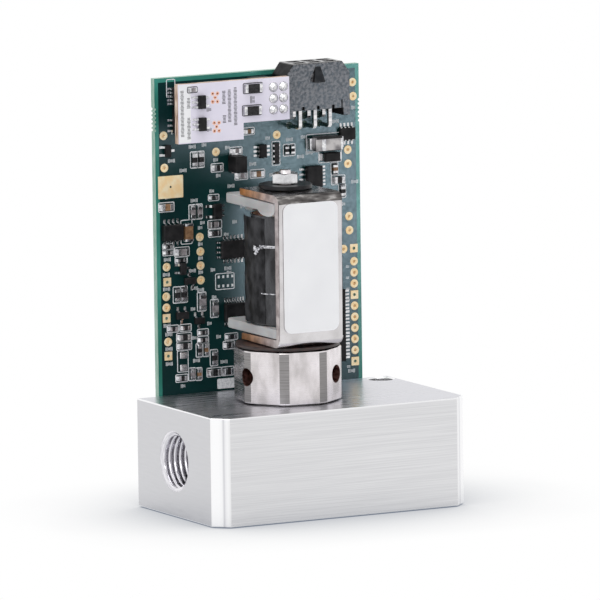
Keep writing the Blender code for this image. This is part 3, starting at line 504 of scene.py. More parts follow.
collar = turned([(tube_bore, shoulder), (tube_bore, collar_high), (collar_radius, collar_high),
                 (collar_radius, collar_low), (spigot_radius, collar_low), (spigot_radius, groove_high),
                 (groove_radius, groove_high), (groove_radius, groove_low), (spigot_radius, groove_low),
                 (spigot_radius, spigot_low + 0.6), (spigot_radius - 0.6, spigot_low),
                 (core_bore, spigot_low), (core_bore, shoulder)], 120)
for flat in range(8):
    middle = math.radians(first_flat + 45 * flat)
    outward = Vector((math.cos(middle), math.sin(middle), 0))
    bmesh.ops.bisect_plane(collar, geom=collar.verts[:] + collar.edges[:] + collar.faces[:],
                           plane_co=outward * flat_reach, plane_no=outward, clear_outer=True)
    bmesh.ops.holes_fill(collar, edges=[e for e in collar.edges if e.is_boundary], sides=0)
spanner_holes = []
for index in range(3):
    hole = swung(rod(spanner_radius, tube_bore - 0.6, collar_radius + 1, 40), 90, "Y")
    spanner_holes.append(moved(swung(hole, first_spanner + 120 * index, "Z"), 0, 0, spanner_height))
outlet_holes = []
for index in range(4):
    hole = swung(rod(outlet_hole_radius, core_bore - 0.6, spigot_radius + 1, 24), 90, "Y")
    outlet_holes.append(moved(swung(hole, 90 * index, "Z"), 0, 0, outlet_hole_height))
collar = cut(collar, *spanner_holes, *outlet_holes)


def outer_rim(edge):
    """Edges round the outside of the collar's top and bottom."""
    return all(v.co.xy.length > flat_reach - 0.1 for v in edge.verts) and (
        all(abs(v.co.z - collar_high) < 0.01 for v in edge.verts)
        or all(abs(v.co.z - collar_low) < 0.01 for v in edge.verts))


collar = eased(collar, collar_edge, 2, 60, outer_rim)
# Faces of the round lands take the painted shade, and faces inside the spanner holes are stained.
for face in collar.faces:
    middle = face.calc_center_median()
    if collar_low + collar_edge < middle.z < collar_high - collar_edge and abs(face.normal.z) < 0.2:
        reach = middle.xy.length
        sideways = abs(face.normal.xy.normalized().dot(middle.xy.normalized()))
        if reach > flat_reach + 0.35 and sideways > 0.9:
            face.material_index = 1
    if tube_bore + 0.1 < middle.xy.length < collar_radius and abs(middle.z - spanner_height) < spanner_radius:
        if abs(face.normal.xy.normalized().dot(middle.xy.normalized())) < 0.3 or abs(face.normal.z) > 0.3:
            face.material_index = 2
piece("valve_collar", moved(collar, valve_x, valve_y),
      [steel, land_painted_shade, stained_bore], ["valve_body"], 12)

# Gasket
# A punched disc of dark brown rubber sheet between the collar and the bracket.
# Its cut edge is slightly rough, and it shows as a thin dark band.
gasket_low, gasket_high, gasket_radius = 36.9, 37.6, 11.7
bracket_low, bracket_high = 37.85, 72.15
tube_hole = 4.95
rubber, tree, shader = started("dark brown rubber", (0.03, 0.017, 0.015), 0.42)
mottled(tree, shader, (0.5, 0.5, 2.0), 4.0, (0.40, 0.012, 0.008, 0.008), (0.62, 0.06, 0.028, 0.024))
gasket = eased(turned([(tube_hole, gasket_low), (gasket_radius, gasket_low), (gasket_radius, gasket_high),
                       (tube_hole, gasket_high)], 96), 0.15, 2, 60)
piece("gasket", moved(gasket, valve_x, valve_y), [rubber], ["bracket_gasket"])

# Flux bracket
# A strip of soft iron sheet, blanked, bent twice to a C and nickel plated.
# The lower leg is punched for the guide tube, and the upper leg for the core's stud.
half_bracket = 8.0
sheet = 1.6
bend = 1.9
bracket_front, bracket_back = -11.65, 6.9
stud_hole = 1.75
plated, tree, shader = started("bright nickel plate", (0.58, 0.56, 0.56), 0.16, 1.0)
mottled(tree, shader, (0.15, 0.15, 0.15), 3.0, (0.35, 0.53, 0.51, 0.51), (0.62, 0.70, 0.68, 0.69))
tree.links.new(spread(tree, grain(tree, (0.6, 0.6, 0.6), 4.0), 0.12, 0.24), shader.inputs["Roughness"])
relief(tree, shader, grain(tree, (0.5, 0.5, 0.5), 2.0), 0.02, 0.12)


def arc(centre, radius, start, end, steps):
    """Points along an arc, both ends included, with the angles in degrees."""
    angles = [math.radians(start + (end - start) * step / steps) for step in range(steps + 1)]
    return [(centre[0] + radius * math.cos(angle), centre[1] + radius * math.sin(angle)) for angle in angles]


def across(shape):
    """Turns a shape made along Z, with its outline in (Y, Z), so that it lies along X."""
    shape.transform(Matrix(((0, 0, 1, 0), (1, 0, 0, 0), (0, 1, 0, 0), (0, 0, 0, 1))))
    return shape


corner_y = bracket_front + bend
inside = bend - sheet
strip = ([(bracket_back, bracket_low), (bracket_back, bracket_low + sheet)]
         + arc((corner_y, bracket_low + bend), inside, 270, 180, 4)
         + arc((corner_y, bracket_high - bend), inside, 180, 90, 4)
         + [(bracket_back, bracket_high - sheet), (bracket_back, bracket_high)]
         + arc((corner_y, bracket_high - bend), bend, 90, 180, 10)
         + arc((corner_y, bracket_low + bend), bend, 180, 270, 10))
bracket = eased(across(prism(strip, -half_bracket, half_bracket)), 0.16, 2, 40)
bracket = cut(bracket, rod(tube_hole, bracket_low - 1, bracket_low + sheet + 0.2),
              rod(stud_hole, bracket_high - sheet - 0.2, bracket_high + 1))
# Cut edges take the painted copper reflection, and the top bend takes the painted dark reflection.
for face in bracket.faces:
    middle = face.calc_center_median()
    if abs(face.normal.x) > 0.9:
        face.material_index = 1
    elif middle.z > bracket_high - bend and middle.y < corner_y and face.normal.z > 0.05:
        face.material_index = 2
# The sheet's cut edges are mottled. Their copper tint, which grows towards the back, is a painted reflection.
sheared_edge_painted_reflection, tree, shader = started("sheared edge of the plate with painted copper reflection", (0.45, 0.40, 0.39), 0.34, 1.0)
place = tree.nodes.new("ShaderNodeTexCoord")
axes = tree.nodes.new("ShaderNodeSeparateXYZ")
backwards_along = tree.nodes.new("ShaderNodeMapRange")
backwards_along.inputs["From Min"].default_value = corner_y * MM
backwards_along.inputs["From Max"].default_value = bracket_back * MM
tree.links.new(place.outputs["Object"], axes.inputs[0])
tree.links.new(axes.outputs["Y"], backwards_along.inputs["Value"])
blend = tree.nodes.new("ShaderNodeMix")
blend.data_type = "RGBA"
blend.blend_type = "MULTIPLY"
blend.inputs["Factor"].default_value = 1.0
mottle = ramp(tree, grain(tree, (0.3, 0.5, 0.5), 4.0), (0.35, 0.55, 0.52, 0.52), (0.65, 1.0, 1.0, 1.0))
# The copper tint is a painted reflection.
painted_copper_reflection = ramp(tree, backwards_along.outputs["Result"], (0.0, 0.60, 0.54, 0.54), (0.25, 0.62, 0.50, 0.48),
             (0.55, 0.68, 0.44, 0.33), (0.9, 0.72, 0.36, 0.17))
colours = [socket for socket in blend.inputs if socket.type == "RGBA"]
tree.links.new(mottle, colours[0])
tree.links.new(painted_copper_reflection, colours[1])
tree.links.new(next(socket for socket in blend.outputs if socket.type == "RGBA"), shader.inputs["Base Color"])
relief(tree, shader, grain(tree, (0.6, 3.0, 3.0), 3.0), 0.03, 0.4)
# The top bend is painted near black with pale streaks: a painted reflection of dark surroundings.
bend_painted_reflection, tree, shader = started("nickel at the bend with painted dark reflection", (0.16, 0.15, 0.15), 0.18, 1.0)
mottled(tree, shader, (0.25, 0.9, 0.9), 4.0, (0.35, 0.05, 0.045, 0.045), (0.55, 0.17, 0.16, 0.155),
        (0.7, 0.50, 0.48, 0.47))
piece("bracket", moved(bracket, valve_x, valve_y), [plated, sheared_edge_painted_reflection, bend_painted_reflection],
      ["flux_bracket"])

# Bobbin
# A grey moulded nylon bobbin: two square flanges on a barrel, a wire lip at each side of the top
# flange, and a small terminal block behind. It is slightly see-through at its thin edges.
flange_front, flange_back = -9.8, 14.35
lower_flange, upper_flange, flange_thick = 39.7, 70.3, 2.2
flange_corner = 1.3
barrel_bore, barrel_radius = 4.95, 5.75
lip_middle, lip_half, lip_drop, lip_thick = -5.5, 4.0, 1.1, 1.4
terminal_x, terminal_z = 1.7, 67.3
nylon, tree, shader = started("grey nylon", (0.50, 0.495, 0.49), 0.42)
mottled(tree, shader, (0.12, 0.12, 0.2), 3.0, (0.35, 0.44, 0.435, 0.435), (0.65, 0.58, 0.575, 0.575))
shader.inputs["Subsurface Weight"].default_value = 0.15
shader.inputs["Subsurface Scale"].default_value = 1.0 * MM
relief(tree, shader, grain(tree, (3.0, 3.0, 3.0), 3.0), 0.01, 0.3)


def rounded_rectangle(x0, x1, y0, y1, radius, steps=6):
    return (arc((x1 - radius, y0 + radius), radius, -90, 0, steps)
            + arc((x1 - radius, y1 - radius), radius, 0, 90, steps)
            + arc((x0 + radius, y1 - radius), radius, 90, 180, steps)
            + arc((x0 + radius, y0 + radius), radius, 180, 270, steps))


flange_outline = rounded_rectangle(-half_bracket, half_bracket, flange_front, flange_back, flange_corner)
flange_under = upper_flange - flange_thick
lower = eased(prism(flange_outline, lower_flange, lower_flange + flange_thick), 0.3, 3, 60)
upper = eased(prism(flange_outline, flange_under, upper_flange), 0.3, 3, 60)
lips = []
for side in (-1, 1):
    lip = across(prism(arc((lip_middle, 0), lip_half, 180, 360, 20), -lip_thick / 2, lip_thick / 2))
    bmesh.ops.scale(lip, vec=(1, 1, (lip_drop + 0.4) / lip_half), verts=lip.verts)
    lips.append(moved(eased(lip, 0.15, 2, 60), side * (half_bracket - 0.75), 0, flange_under + 0.4))
barrel = rod(barrel_radius, lower_flange + 0.5, upper_flange - 0.5, 64)
terminal_block = eased(slab(-3.0, 3.0, 10.35, 13.95, flange_under - 2.0, flange_under + 0.5), 0.2, 2)
bobbin = fused(lower, upper)
bobbin = fused(bobbin, barrel, *lips, terminal_block)
sockets = [moved(swung(rod(0.85, 11.1, 15.35, 20), -90, "X"), side * terminal_x, 0, terminal_z)
           for side in (-1, 1)]
bobbin = cut(bobbin, rod(barrel_bore, lower_flange - 1, upper_flange + 1, 64), *sockets)
piece("bobbin", moved(bobbin, valve_x, valve_y), [nylon], ["coil_bobbin"])

# Coil tape
# Black polyester tape wound over the copper winding, pulled tight and slightly wrinkled.
# It is a closed sleeve with its wrinkles and turns in the mesh. A slack end stands off at the left, painted
# darker than the sleeve as painted shade. The last turn's cut edges are turned over and crumpled, and painted
# pale as a painted highlight.
tape_radius, tape_inner = 8.1, 7.6
tape_low, tape_high = 42.15, 66.75
wrap_steps, wrap_rows = 160, 120
tape = bmesh.new()
corners = [tape.verts.new((tape_inner, 0, tape_low)), tape.verts.new((tape_inner, 0, tape_high))]
rows = [tape.verts.new((tape_radius - 0.22, 0, tape_high - (tape_high - tape_low) * row / wrap_rows))
        for row in range(wrap_rows + 1)]
loop = corners + rows
for near, far in zip(loop, loop[1:] + loop[:1]):
    tape.edges.new((near, far))
bmesh.ops.spin(tape, geom=tape.verts[:] + tape.edges[:], cent=(0, 0, 0), axis=(0, 0, 1), angle=math.tau,
               steps=wrap_steps, use_merge=True)
bmesh.ops.remove_doubles(tape, verts=tape.verts, dist=0.0001)
bmesh.ops.recalc_face_normals(tape, faces=tape.faces)
turn_width = 8.6
for vert in tape.verts:
    radius = vert.co.xy.length
    if radius < tape_inner + 0.05 or vert.co.z in (tape_low, tape_high):
        continue
    angle = math.atan2(vert.co.y, vert.co.x)
    along = (vert.co.z - tape_low + 0.9 * math.sin(angle)) / turn_width
    overlap = 0.09 * (1.0 - abs(2 * (along % 1.0) - 1.0))
    creases = noise.noise(Vector((2.2 * angle, 0.34 * vert.co.z, 0.0)))
    folds = abs(noise.noise(Vector((7.0 * math.cos(angle), 7.0 * math.sin(angle), 0.55 * vert.co.z + 9.0))))
    grow = overlap + 0.07 * creases - 0.12 * folds
    vert.co.xy *= (radius + min(0.2, max(-0.2, grow))) / radius
film, tree, shader = started("black tape", (0.045, 0.046, 0.05), 0.22, specular=0.35)
mottled(tree, shader, (0.35, 0.35, 0.12), 4.0, (0.35, 0.012, 0.012, 0.014), (0.7, 0.11, 0.112, 0.12))
tree.links.new(spread(tree, grain(tree, (1.2, 1.2, 0.3), 4.0), 0.14, 0.36), shader.inputs["Roughness"])
relief(tree, shader, grain(tree, (0.8, 0.8, 2.2), 4.0), 0.08, 0.6)
# The slack end is painted darker than the sleeve: painted shade.
loose_end_painted_shade, tree, shader = started("loose black tape with painted shade", (0.012, 0.012, 0.013), 0.3, specular=0.12)
mottled(tree, shader, (0.5, 0.5, 0.3), 4.0, (0.38, 0.006, 0.006, 0.007), (0.68, 0.05, 0.05, 0.054))
relief(tree, shader, grain(tree, (0.6, 0.6, 0.5), 4.0), 0.15, 0.7)
# The turned-over edges are painted pale: a painted highlight.
tape_edge_painted_highlight, tree, shader = started("tape edge with painted highlight", (0.55, 0.55, 0.58), 0.25, 0.4)
mottled(tree, shader, (1.5, 1.5, 3.0), 3.0, (0.38, 0.16, 0.16, 0.18), (0.6, 0.80, 0.80, 0.83))


def wound(start, end, low, high, near, far, steps, rows_high):
    """A thin strip wound round the coil. Its two radii are at its ends, and angles are in degrees."""
    shape = bmesh.new()
    grid = []
    for step in range(steps + 1):
        share = step / steps
        turn = math.radians(start + (end - start) * share)
        column = []
        for row in range(rows_high + 1):
            height = low + (high - low) * row / rows_high
            wave = 0.22 * share * noise.noise(Vector((3.0 * share, 0.45 * height, 5.0)))
            reach = near + (far - near) * share ** 1.5 + wave
            column.append(shape.verts.new((reach * math.cos(turn), reach * math.sin(turn), height)))
        grid.append(column)
    for left, right in zip(grid, grid[1:]):
        for row in range(rows_high):
            shape.faces.new((left[row], right[row], right[row + 1], left[row + 1]))
    bmesh.ops.recalc_face_normals(shape, faces=shape.faces)
    bmesh.ops.solidify(shape, geom=shape.faces[:], thickness=0.09)
    return shape


loose_end = wound(205, 140, tape_low + 0.3, tape_high - 0.5, tape_radius - 0.1, 9.6, 26, 40)
turned_over = wound(182, 262, 59.6, 60.2, tape_radius, tape_radius + 0.1, 30, 1)
last_turn = wound(197, 262, 49.15, 49.4, tape_radius - 0.02, tape_radius + 0.04, 24, 1)
crumple = []
for turn, height, size in ((185, 59.4, 0.85), (190, 58.9, 0.7), (195, 59.4, 0.6), (187, 58.2, 0.5),
                           (200, 59.7, 0.45)):
    fold = bmesh.new()
    bmesh.ops.create_icosphere(fold, subdivisions=2, radius=size)
    for vert in fold.verts:
        vert.co *= 0.75 + 0.5 * noise.noise(vert.co * 2.2 + Vector((turn, 0, 0)))
    direction = math.radians(turn)
    crumple.append(moved(fold, (tape_radius + 0.12) * math.cos(direction),
                         (tape_radius + 0.12) * math.sin(direction), height))
edges = gathered(turned_over, last_turn, *crumple)
for shape, index in ((edges, 1), (loose_end, 2)):
    for face in shape.faces:
        face.material_index = index
piece("coil_wrap", moved(gathered(tape, loose_end, edges), valve_x, valve_y),
      [film, tape_edge_painted_highlight, loose_end_painted_shade], ["coil_tape"], 60)

# Label
# A rectangle of white polyester film stuck to the bracket's front, its corners rounded. It is bare.
label_middle_z = 55.7
label_half_width, label_half_height, label_corner = 6.9, 14.6, 1.8
label_back, label_thick = -11.75, 0.15
paper, tree, shader = started("white polyester film", (0.86, 0.86, 0.87), 0.38)
mottled(tree, shader, (0.1, 0.1, 0.1), 2.0, (0.3, 0.83, 0.83, 0.84), (0.7, 0.88, 0.88, 0.885))
relief(tree, shader, grain(tree, (1.5, 1.5, 1.5), 3.0), 0.01, 0.2)
label = prism(rounded_rectangle(-label_half_width, label_half_width, -label_half_height, label_half_height,
                                label_corner, 10), 0, label_thick)
label = swung(eased(label, 0.04, 2, 60), 90, "X")
piece("label", moved(label, valve_x, label_back, label_middle_z), [paper], ["valve_label"])

# Retaining disc and nut
# A black moulded disc and a bright tinned hexagon nut on the core's threaded stud hold the bracket.
# The core itself is turned steel, and its stud's thread shows above the nut.
disc_low, disc_high, disc_radius = 72.4, 73.3, 6.0
nut_low, nut_high, nut_flats = 73.55, 75.75, 5.5
stud_radius, stud_high = 1.5, 76.4
black_nylon, tree, shader = started("black nylon", (0.014, 0.014, 0.016), 0.32, specular=0.2)
mottled(tree, shader, (0.8, 0.8, 0.8), 3.0, (0.35, 0.006, 0.006, 0.007), (0.65, 0.02, 0.02, 0.022))
disc = eased(turned([(stud_hole, disc_low), (disc_radius, disc_low), (disc_radius, disc_high),
                     (stud_hole, disc_high)], 72), 0.2, 3, 60)
piece("holding_disc", moved(disc, valve_x, valve_y), [black_nylon], ["retaining_disc"])

bright_tin, tree, shader = started("bright tin plate", (0.64, 0.64, 0.65), 0.18, 1.0)
mottled(tree, shader, (0.5, 0.5, 0.5), 2.0, (0.35, 0.60, 0.60, 0.62), (0.65, 0.78, 0.78, 0.79))
tree.links.new(spread(tree, grain(tree, (2.5, 2.5, 2.5), 3.0), 0.12, 0.28), shader.inputs["Roughness"])


def hexagon(flats):
    """A hexagon's corners, from its width across the flats."""
    corner = flats / math.sqrt(3)
    return [(corner * math.cos(math.radians(60 * i)), corner * math.sin(math.radians(60 * i)))
            for i in range(6)]


nut_corner = nut_flats / math.sqrt(3)
nut = prism(hexagon(nut_flats), nut_low, nut_high)
dish = turned([(nut_flats / 2 - 0.05, nut_high + 0.3), (nut_flats / 2 - 0.05, nut_high),
               (nut_corner + 0.1, nut_high - 0.35), (nut_corner + 0.1, nut_high + 0.3)], 64)
nut = cut(nut, dish, rod(stud_radius + 0.12, nut_low - 1, nut_high + 0.2, 40))
piece("nut", moved(nut, valve_x, valve_y), [bright_tin], ["retaining_nut"])

core_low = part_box("pole_piece")[0].z / MM
tube_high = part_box("guide_tube")[1].z / MM
core_radius, tube_radius = 3.95, 4.7
core_outline = [(0, core_low), (core_radius - 0.4, core_low), (core_radius, core_low + 0.4),
                (core_radius, tube_high + seat_gap), (tube_radius, tube_high + seat_gap),
                (tube_radius, upper_flange), (stud_radius - 0.2, upper_flange)]
thread_rise = 0.5
turns = int((stud_high - 0.5 - upper_flange) / thread_rise)
for turn in range(turns):
    start = upper_flange + turn * thread_rise
    core_outline += [(stud_radius, start + 0.2), (stud_radius, start + 0.3),
                     (stud_radius - 0.22, start + thread_rise)]
core_outline += [(stud_radius - 0.3, stud_high), (0, stud_high)]
core = moved(turned(core_outline, 56), valve_x, valve_y)
piece("core", core, [steel], ["pole_piece"])

# Main board
# A tall glass-fibre circuit board with green solder mask, screwed to the block's back.
# Copper lies under the mask except in the paler margin. Small bites show where it was snapped out.
board_left, board_right, board_low, board_high = -26.25, 25.75, 2.0, 96.4
board_face, board_thick = 19.75, 1.6
board_margin = 0.95
screw_xs, screw_zs = (-22.25, 21.75), (4.5, 20.0)
screw_hole = 1.75
pin_hole, header_hole = 0.85, 0.72
pin_pitch = 2.54
connector_columns = (7.815, 11.625, 15.435)
front_bend, back_bend = 83.5, 85.5
header_columns, header_rows = (-2.02, 0.52), (88.96, 91.5, 94.04)
round_pads = [(-24.1, 83.4), (-24.0, 76.1), (-10.9, 78.8), (4.6, 81.6), (24.1, 92.2), (24.2, 89.0),
              (22.7, 76.9), (22.7, 73.7), (22.8, 61.7), (22.9, 58.5), (-15.3, 59.8), (-15.2, 56.5),
              (-15.2, 53.3), (-15.2, 50.0), (-23.8, 53.6), (-24.0, 46.9), (-24.0, 44.4), (-23.7, 36.6),
              (21.3, 54.3)]
square_pads = [(-23.7, 50.2), (-24.0, 42.0), (-23.7, 33.4), (23.94, 54.3)]
for row in range(10):
    (square_pads if row in (3, 9) else round_pads).append((23.94, 51.3 - pin_pitch * row))
pad_radius, pad_bore, pad_rise = 0.97, 0.36, 0.06


def on_board(shape):
    """Stands a shape made flat on the board's face: X right, Y up and Z towards the viewer."""
    return moved(swung(shape, 90, "X"), 0, board_face)


def layered(tree, shader, deep, pale, sheen):
    """Colour that wanders between two tones, as mask over copper does, with fine speckle."""
    cloud = grain(tree, (0.06, 0.06, 0.06), 3.0)
    tree.links.new(ramp(tree, cloud, (0.35, *deep), (0.65, *pale)), shader.inputs["Base Color"])
    tree.links.new(spread(tree, grain(tree, (1.5, 1.5, 1.5), 3.0), sheen - 0.05, sheen + 0.08),
                   shader.inputs["Roughness"])
    relief(tree, shader, grain(tree, (4.0, 4.0, 4.0), 2.0), 0.01, 0.25)


mask, tree, shader = started("green solder mask over copper", (0.005, 0.034, 0.034), 0.32, specular=0.1)
layered(tree, shader, (0.0025, 0.020, 0.021), (0.005, 0.036, 0.035), 0.34)
margin, tree, shader = started("green solder mask over laminate", (0.04, 0.24, 0.18), 0.34, specular=0.08)
layered(tree, shader, (0.025, 0.16, 0.12), (0.06, 0.30, 0.24), 0.34)
laminate, tree, shader = started("sawn glass fibre", (0.30, 0.45, 0.36), 0.6)
mottled(tree, shader, (0.4, 5.0, 0.4), 3.0, (0.38, 0.22, 0.40, 0.32), (0.62, 0.42, 0.56, 0.47))

board = slab(board_left, board_right, board_low, board_high, -board_thick, 0)
for outer in (1, -1):
    face = next(f for f in board.faces if f.normal.z * outer > 0.9)
    bmesh.ops.inset_region(board, faces=[face], thickness=board_margin, use_even_offset=True)
for face in board.faces:
    middle = face.calc_center_median()
    inner = abs(face.normal.z) > 0.9 and all(
        board_left + 0.5 < v.co.x < board_right - 0.5 for v in face.verts)
    face.material_index = 0 if inner else 1 if abs(face.normal.z) > 0.9 else 2
holes = [moved(rod(screw_hole, -board_thick - 1, 1, 40), x, z) for x in screw_xs for z in screw_zs]
holes += [moved(rod(pin_hole, -board_thick - 1, 1, 24), x, z)
          for x in connector_columns for z in (front_bend, back_bend)]
holes += [moved(rod(pin_hole, -board_thick - 1, 1, 24), valve_x + side * terminal_x, terminal_z)
          for side in (-1, 1)]
holes += [moved(rod(header_hole, -board_thick - 1, 1, 24), x, z) for x in header_columns for z in header_rows]
holes += [moved(rod(pad_bore + 0.06, -board_thick - 1, 1, 20), x, z) for x, z in round_pads + square_pads]
bite_radius, bite_pitch = 0.32, 0.95
for edge, first in ((board_left, 84.7), (board_right, 83.4)):
    holes += [moved(rod(bite_radius, -board_thick - 1, 1, 16), edge, first + bite_pitch * i)
              for i in range(6)]
board = cut(board, *holes)
for face in board.faces:
    if abs(face.normal.z) < 0.5:
        face.material_index = 2
piece("board", on_board(board), [mask, margin, laminate], ["main_board"], 30)

# Gold pads
# Test pads and plated holes: copper with a thin gold finish, round or square, on both faces.
# One large square pad has a single small via in its middle.
gold, tree, shader = started("gold plated copper", (0.98, 0.70, 0.36), 0.42, 0.4)
mottled(tree, shader, (0.7, 0.7, 0.7), 3.0, (0.35, 0.98, 0.72, 0.38), (0.65, 1.0, 0.86, 0.60))
tree.links.new(spread(tree, grain(tree, (2.0, 2.0, 2.0), 3.0), 0.38, 0.50), shader.inputs["Roughness"])
pads = []
for x, z in round_pads:
    pads.append(moved(turned([(pad_bore, -board_thick - pad_rise), (pad_radius, -board_thick - pad_rise),
                              (pad_radius, -board_thick), (pad_bore + 0.05, -board_thick),
                              (pad_bore + 0.05, 0), (pad_radius, 0), (pad_radius, pad_rise * 0.6),
                              (pad_radius - 0.06, pad_rise), (pad_bore + 0.06, pad_rise),
                              (pad_bore, pad_rise * 0.5)], 28), x, z))
square = [prism(rounded_rectangle(x - pad_radius, x + pad_radius, z - pad_radius, z + pad_radius, 0.12, 3),
                -0.01, pad_rise) for x, z in square_pads]
square += [prism(rounded_rectangle(-25.65, -19.35, 69.15, 74.25, 0.15, 3), -0.01, pad_rise)]
square = cut(gathered(*square), *[moved(rod(pad_bore, -0.5, 0.5, 20), x, z) for x, z in square_pads],
             moved(rod(0.25, -0.5, 0.5, 20), -22.5, 71.7))
piece("gold_pads", on_board(gathered(square, *pads)), [gold])

# Small passives
# Chip resistors and ceramic capacitors, soldered by their plated ends.
# Each is a body, two silvered caps and two solder fillets.
black_glaze, tree, shader = started("black resistor glaze", (0.015, 0.015, 0.016), 0.35, specular=0.2)
mottled(tree, shader, (3.0, 3.0, 3.0), 3.0, (0.4, 0.010, 0.010, 0.011), (0.6, 0.035, 0.034, 0.036))
brown_body, tree, shader = started("brown ceramic", (0.20, 0.105, 0.05), 0.45)
mottled(tree, shader, (1.2, 1.2, 1.2), 4.0, (0.38, 0.15, 0.075, 0.035), (0.62, 0.30, 0.17, 0.085))
grey_body, tree, shader = started("grey ceramic", (0.24, 0.22, 0.22), 0.45)
mottled(tree, shader, (1.2, 1.2, 1.2), 4.0, (0.38, 0.18, 0.165, 0.17), (0.62, 0.34, 0.31, 0.32))
solder, tree, shader = started("bright solder", (0.72, 0.72, 0.74), 0.24, 1.0)
mottled(tree, shader, (1.5, 1.5, 1.5), 3.0, (0.35, 0.46, 0.46, 0.49), (0.65, 0.86, 0.86, 0.87))
relief(tree, shader, grain(tree, (2.5, 2.5, 2.5), 2.0), 0.03, 0.4)

BLACK, BROWN, GREY = range(3)
passives = [
    (-16.5, 77.4, 1.3, 3.2, BLACK), (-14.8, 77.4, 1.3, 3.2, BLACK), (-10.65, 75.2, 2.6, 1.4, BLACK),
    (-23.65, 67.2, 3.4, 1.6, BROWN), (-17.1, 65.6, 1.2, 2.9, GREY), (-15.4, 65.6, 1.2, 2.9, GREY),
    (-11.45, 62.4, 3.0, 1.4, GREY), (-11.45, 60.4, 2.8, 1.2, BLACK), (-11.65, 68.5, 2.2, 0.9, BLACK),
    (-19.85, 56.8, 3.2, 1.6, GREY), (-20.1, 54.9, 2.6, 0.9, BLACK), (-23.3, 58.2, 2.3, 0.9, BLACK),
    (-23.3, 56.9, 2.3, 0.9, BLACK), (-4.55, 73.0, 2.8, 1.4, GREY), (-0.45, 73.1, 3.2, 1.4, BROWN),
    (7.0, 77.9, 1.0, 2.2, BLACK), (8.5, 77.9, 1.0, 2.2, BLACK), (20.15, 70.2, 3.0, 1.6, BLACK),
    (19.25, 72.8, 1.3, 2.4, BROWN), (21.15, 67.6, 1.3, 2.6, BLACK), (-15.05, 45.1, 1.7, 3.8, GREY),
    (-11.85, 43.3, 1.5, 3.6, GREY), (-21.3, 47.1, 1.4, 3.2, BLACK), (-19.6, 47.1, 1.4, 3.2, BLACK),
    (-22.45, 39.5, 2.4, 1.1, BLACK), (-19.25, 39.5, 2.4, 1.1, BLACK), (-19.65, 37.4, 3.3, 1.4, BLACK),
    (-19.65, 35.4, 3.3, 1.4, BLACK), (-20.35, 28.1, 2.6, 1.2, BLACK), (-17.75, 28.8, 1.2, 2.4, GREY),
    (-16.05, 28.7, 1.1, 2.4, BROWN), (-14.85, 38.1, 2.3, 1.0, BLACK), (-14.85, 36.4, 2.3, 1.1, BLACK),
    (-15.85, 34.1, 1.1, 2.6, BLACK), (-14.15, 34.1, 1.0, 2.6, BROWN), (-12.15, 32.1, 1.4, 3.2, BLACK),
    (-12.15, 28.8, 3.2, 1.5, BLACK), (-8.65, 28.8, 2.6, 1.5, BLACK), (-7.65, 36.6, 2.8, 1.0, BLACK),
    (-8.35, 34.7, 2.4, 1.3, BLACK), (-5.8, 78.7, 2.6, 1.2, GREY), (-2.6, 82.9, 2.6, 1.1, BROWN),
]
passive_bodies, fillets = [], []
for x, z, width, tall, tone in passives:
    upright = tall > width
    length, across_width = (tall, width) if upright else (width, tall)
    thick = min(0.9, 0.55 * across_width)
    cap = 0.24 * length
    half_length, half_width = length / 2 - 0.25, across_width / 2 - 0.08
    body_shape = eased(slab(-half_length + 0.05, half_length - 0.05, -half_width, half_width, 0.03, thick),
                       0.04, 1)
    for face in body_shape.faces:
        face.material_index = tone
    ends = []
    for side in (-1, 1):
        near, far = sorted((side * (half_length - cap), side * half_length))
        ends.append(eased(slab(near, far, -half_width - 0.03, half_width + 0.03, 0.02, thick + 0.04),
                          0.05, 1))
        foot = prism([(0, 0), (0.42, 0), (0.1, 0.55 * thick), (0, 0.75 * thick)], -half_width, half_width)
        foot = moved(swung(foot, 90, "X"), half_length - 0.02)
        ends.append(swung(foot, 0 if side > 0 else 180, "Z"))
    both = [body_shape, gathered(*ends)]
    for shape, pile in zip(both, (passive_bodies, fillets)):
        pile.append(moved(swung(shape, 90 if upright else 0, "Z"), x, z))

array_bodies = slab(3.75, 4.95, 75.0, 79.8, 0.03, 0.55)
for face in array_bodies.faces:
    face.material_index = BLACK
passive_bodies.append(eased(array_bodies, 0.05, 1))
for row in range(4):
    for side in (-1, 1):
        fillets.append(eased(slab(4.35 + side * 0.68 - 0.2, 4.35 + side * 0.68 + 0.2, 75.35 + 1.2 * row,
                                  75.85 + 1.2 * row, 0, 0.5), 0.05, 1))
piece("passive_bodies", on_board(gathered(*passive_bodies)),
      [black_glaze, brown_body, grey_body])

# Large chips
# Moulded epoxy packages with tinned copper leads, bent out and down to pads on the board.
# A power inductor, a ceramic capacitor and a tantalum capacitor stand among them.
epoxy, tree, shader = started("black moulded epoxy", (0.014, 0.014, 0.015), 0.5, specular=0.15)
mottled(tree, shader, (0.5, 0.5, 0.5), 4.0, (0.35, 0.008, 0.008, 0.009), (0.65, 0.024, 0.023, 0.024))
relief(tree, shader, grain(tree, (6.0, 6.0, 6.0), 3.0), 0.015, 0.5)
chip_foot = 0.25


def chip_body(node, x, z, width, tall, thick, dimple=0.0):
    """A moulded body with eased edges and, on the larger ones, a dimple beside the first lead."""
    shape = slab(-width / 2, width / 2, -tall / 2, tall / 2, chip_foot, thick)
    shape = eased(shape, 0.16, 1, 40, lambda e: all(v.co.z > thick - 0.01 for v in e.verts))
    shape = eased(shape, 0.05, 1, 60, lambda e: abs(e.verts[0].co.z - e.verts[1].co.z) > 0.1)
    if dimple:
        spot = moved(rod(dimple, thick - 0.06, thick + 1, 20), -width / 2 + 2.4 * dimple,
                     tall / 2 - 2.4 * dimple)
        shape = cut(shape, spot)
    piece(node + "_body", on_board(moved(shape, x, z)), [epoxy], [node])


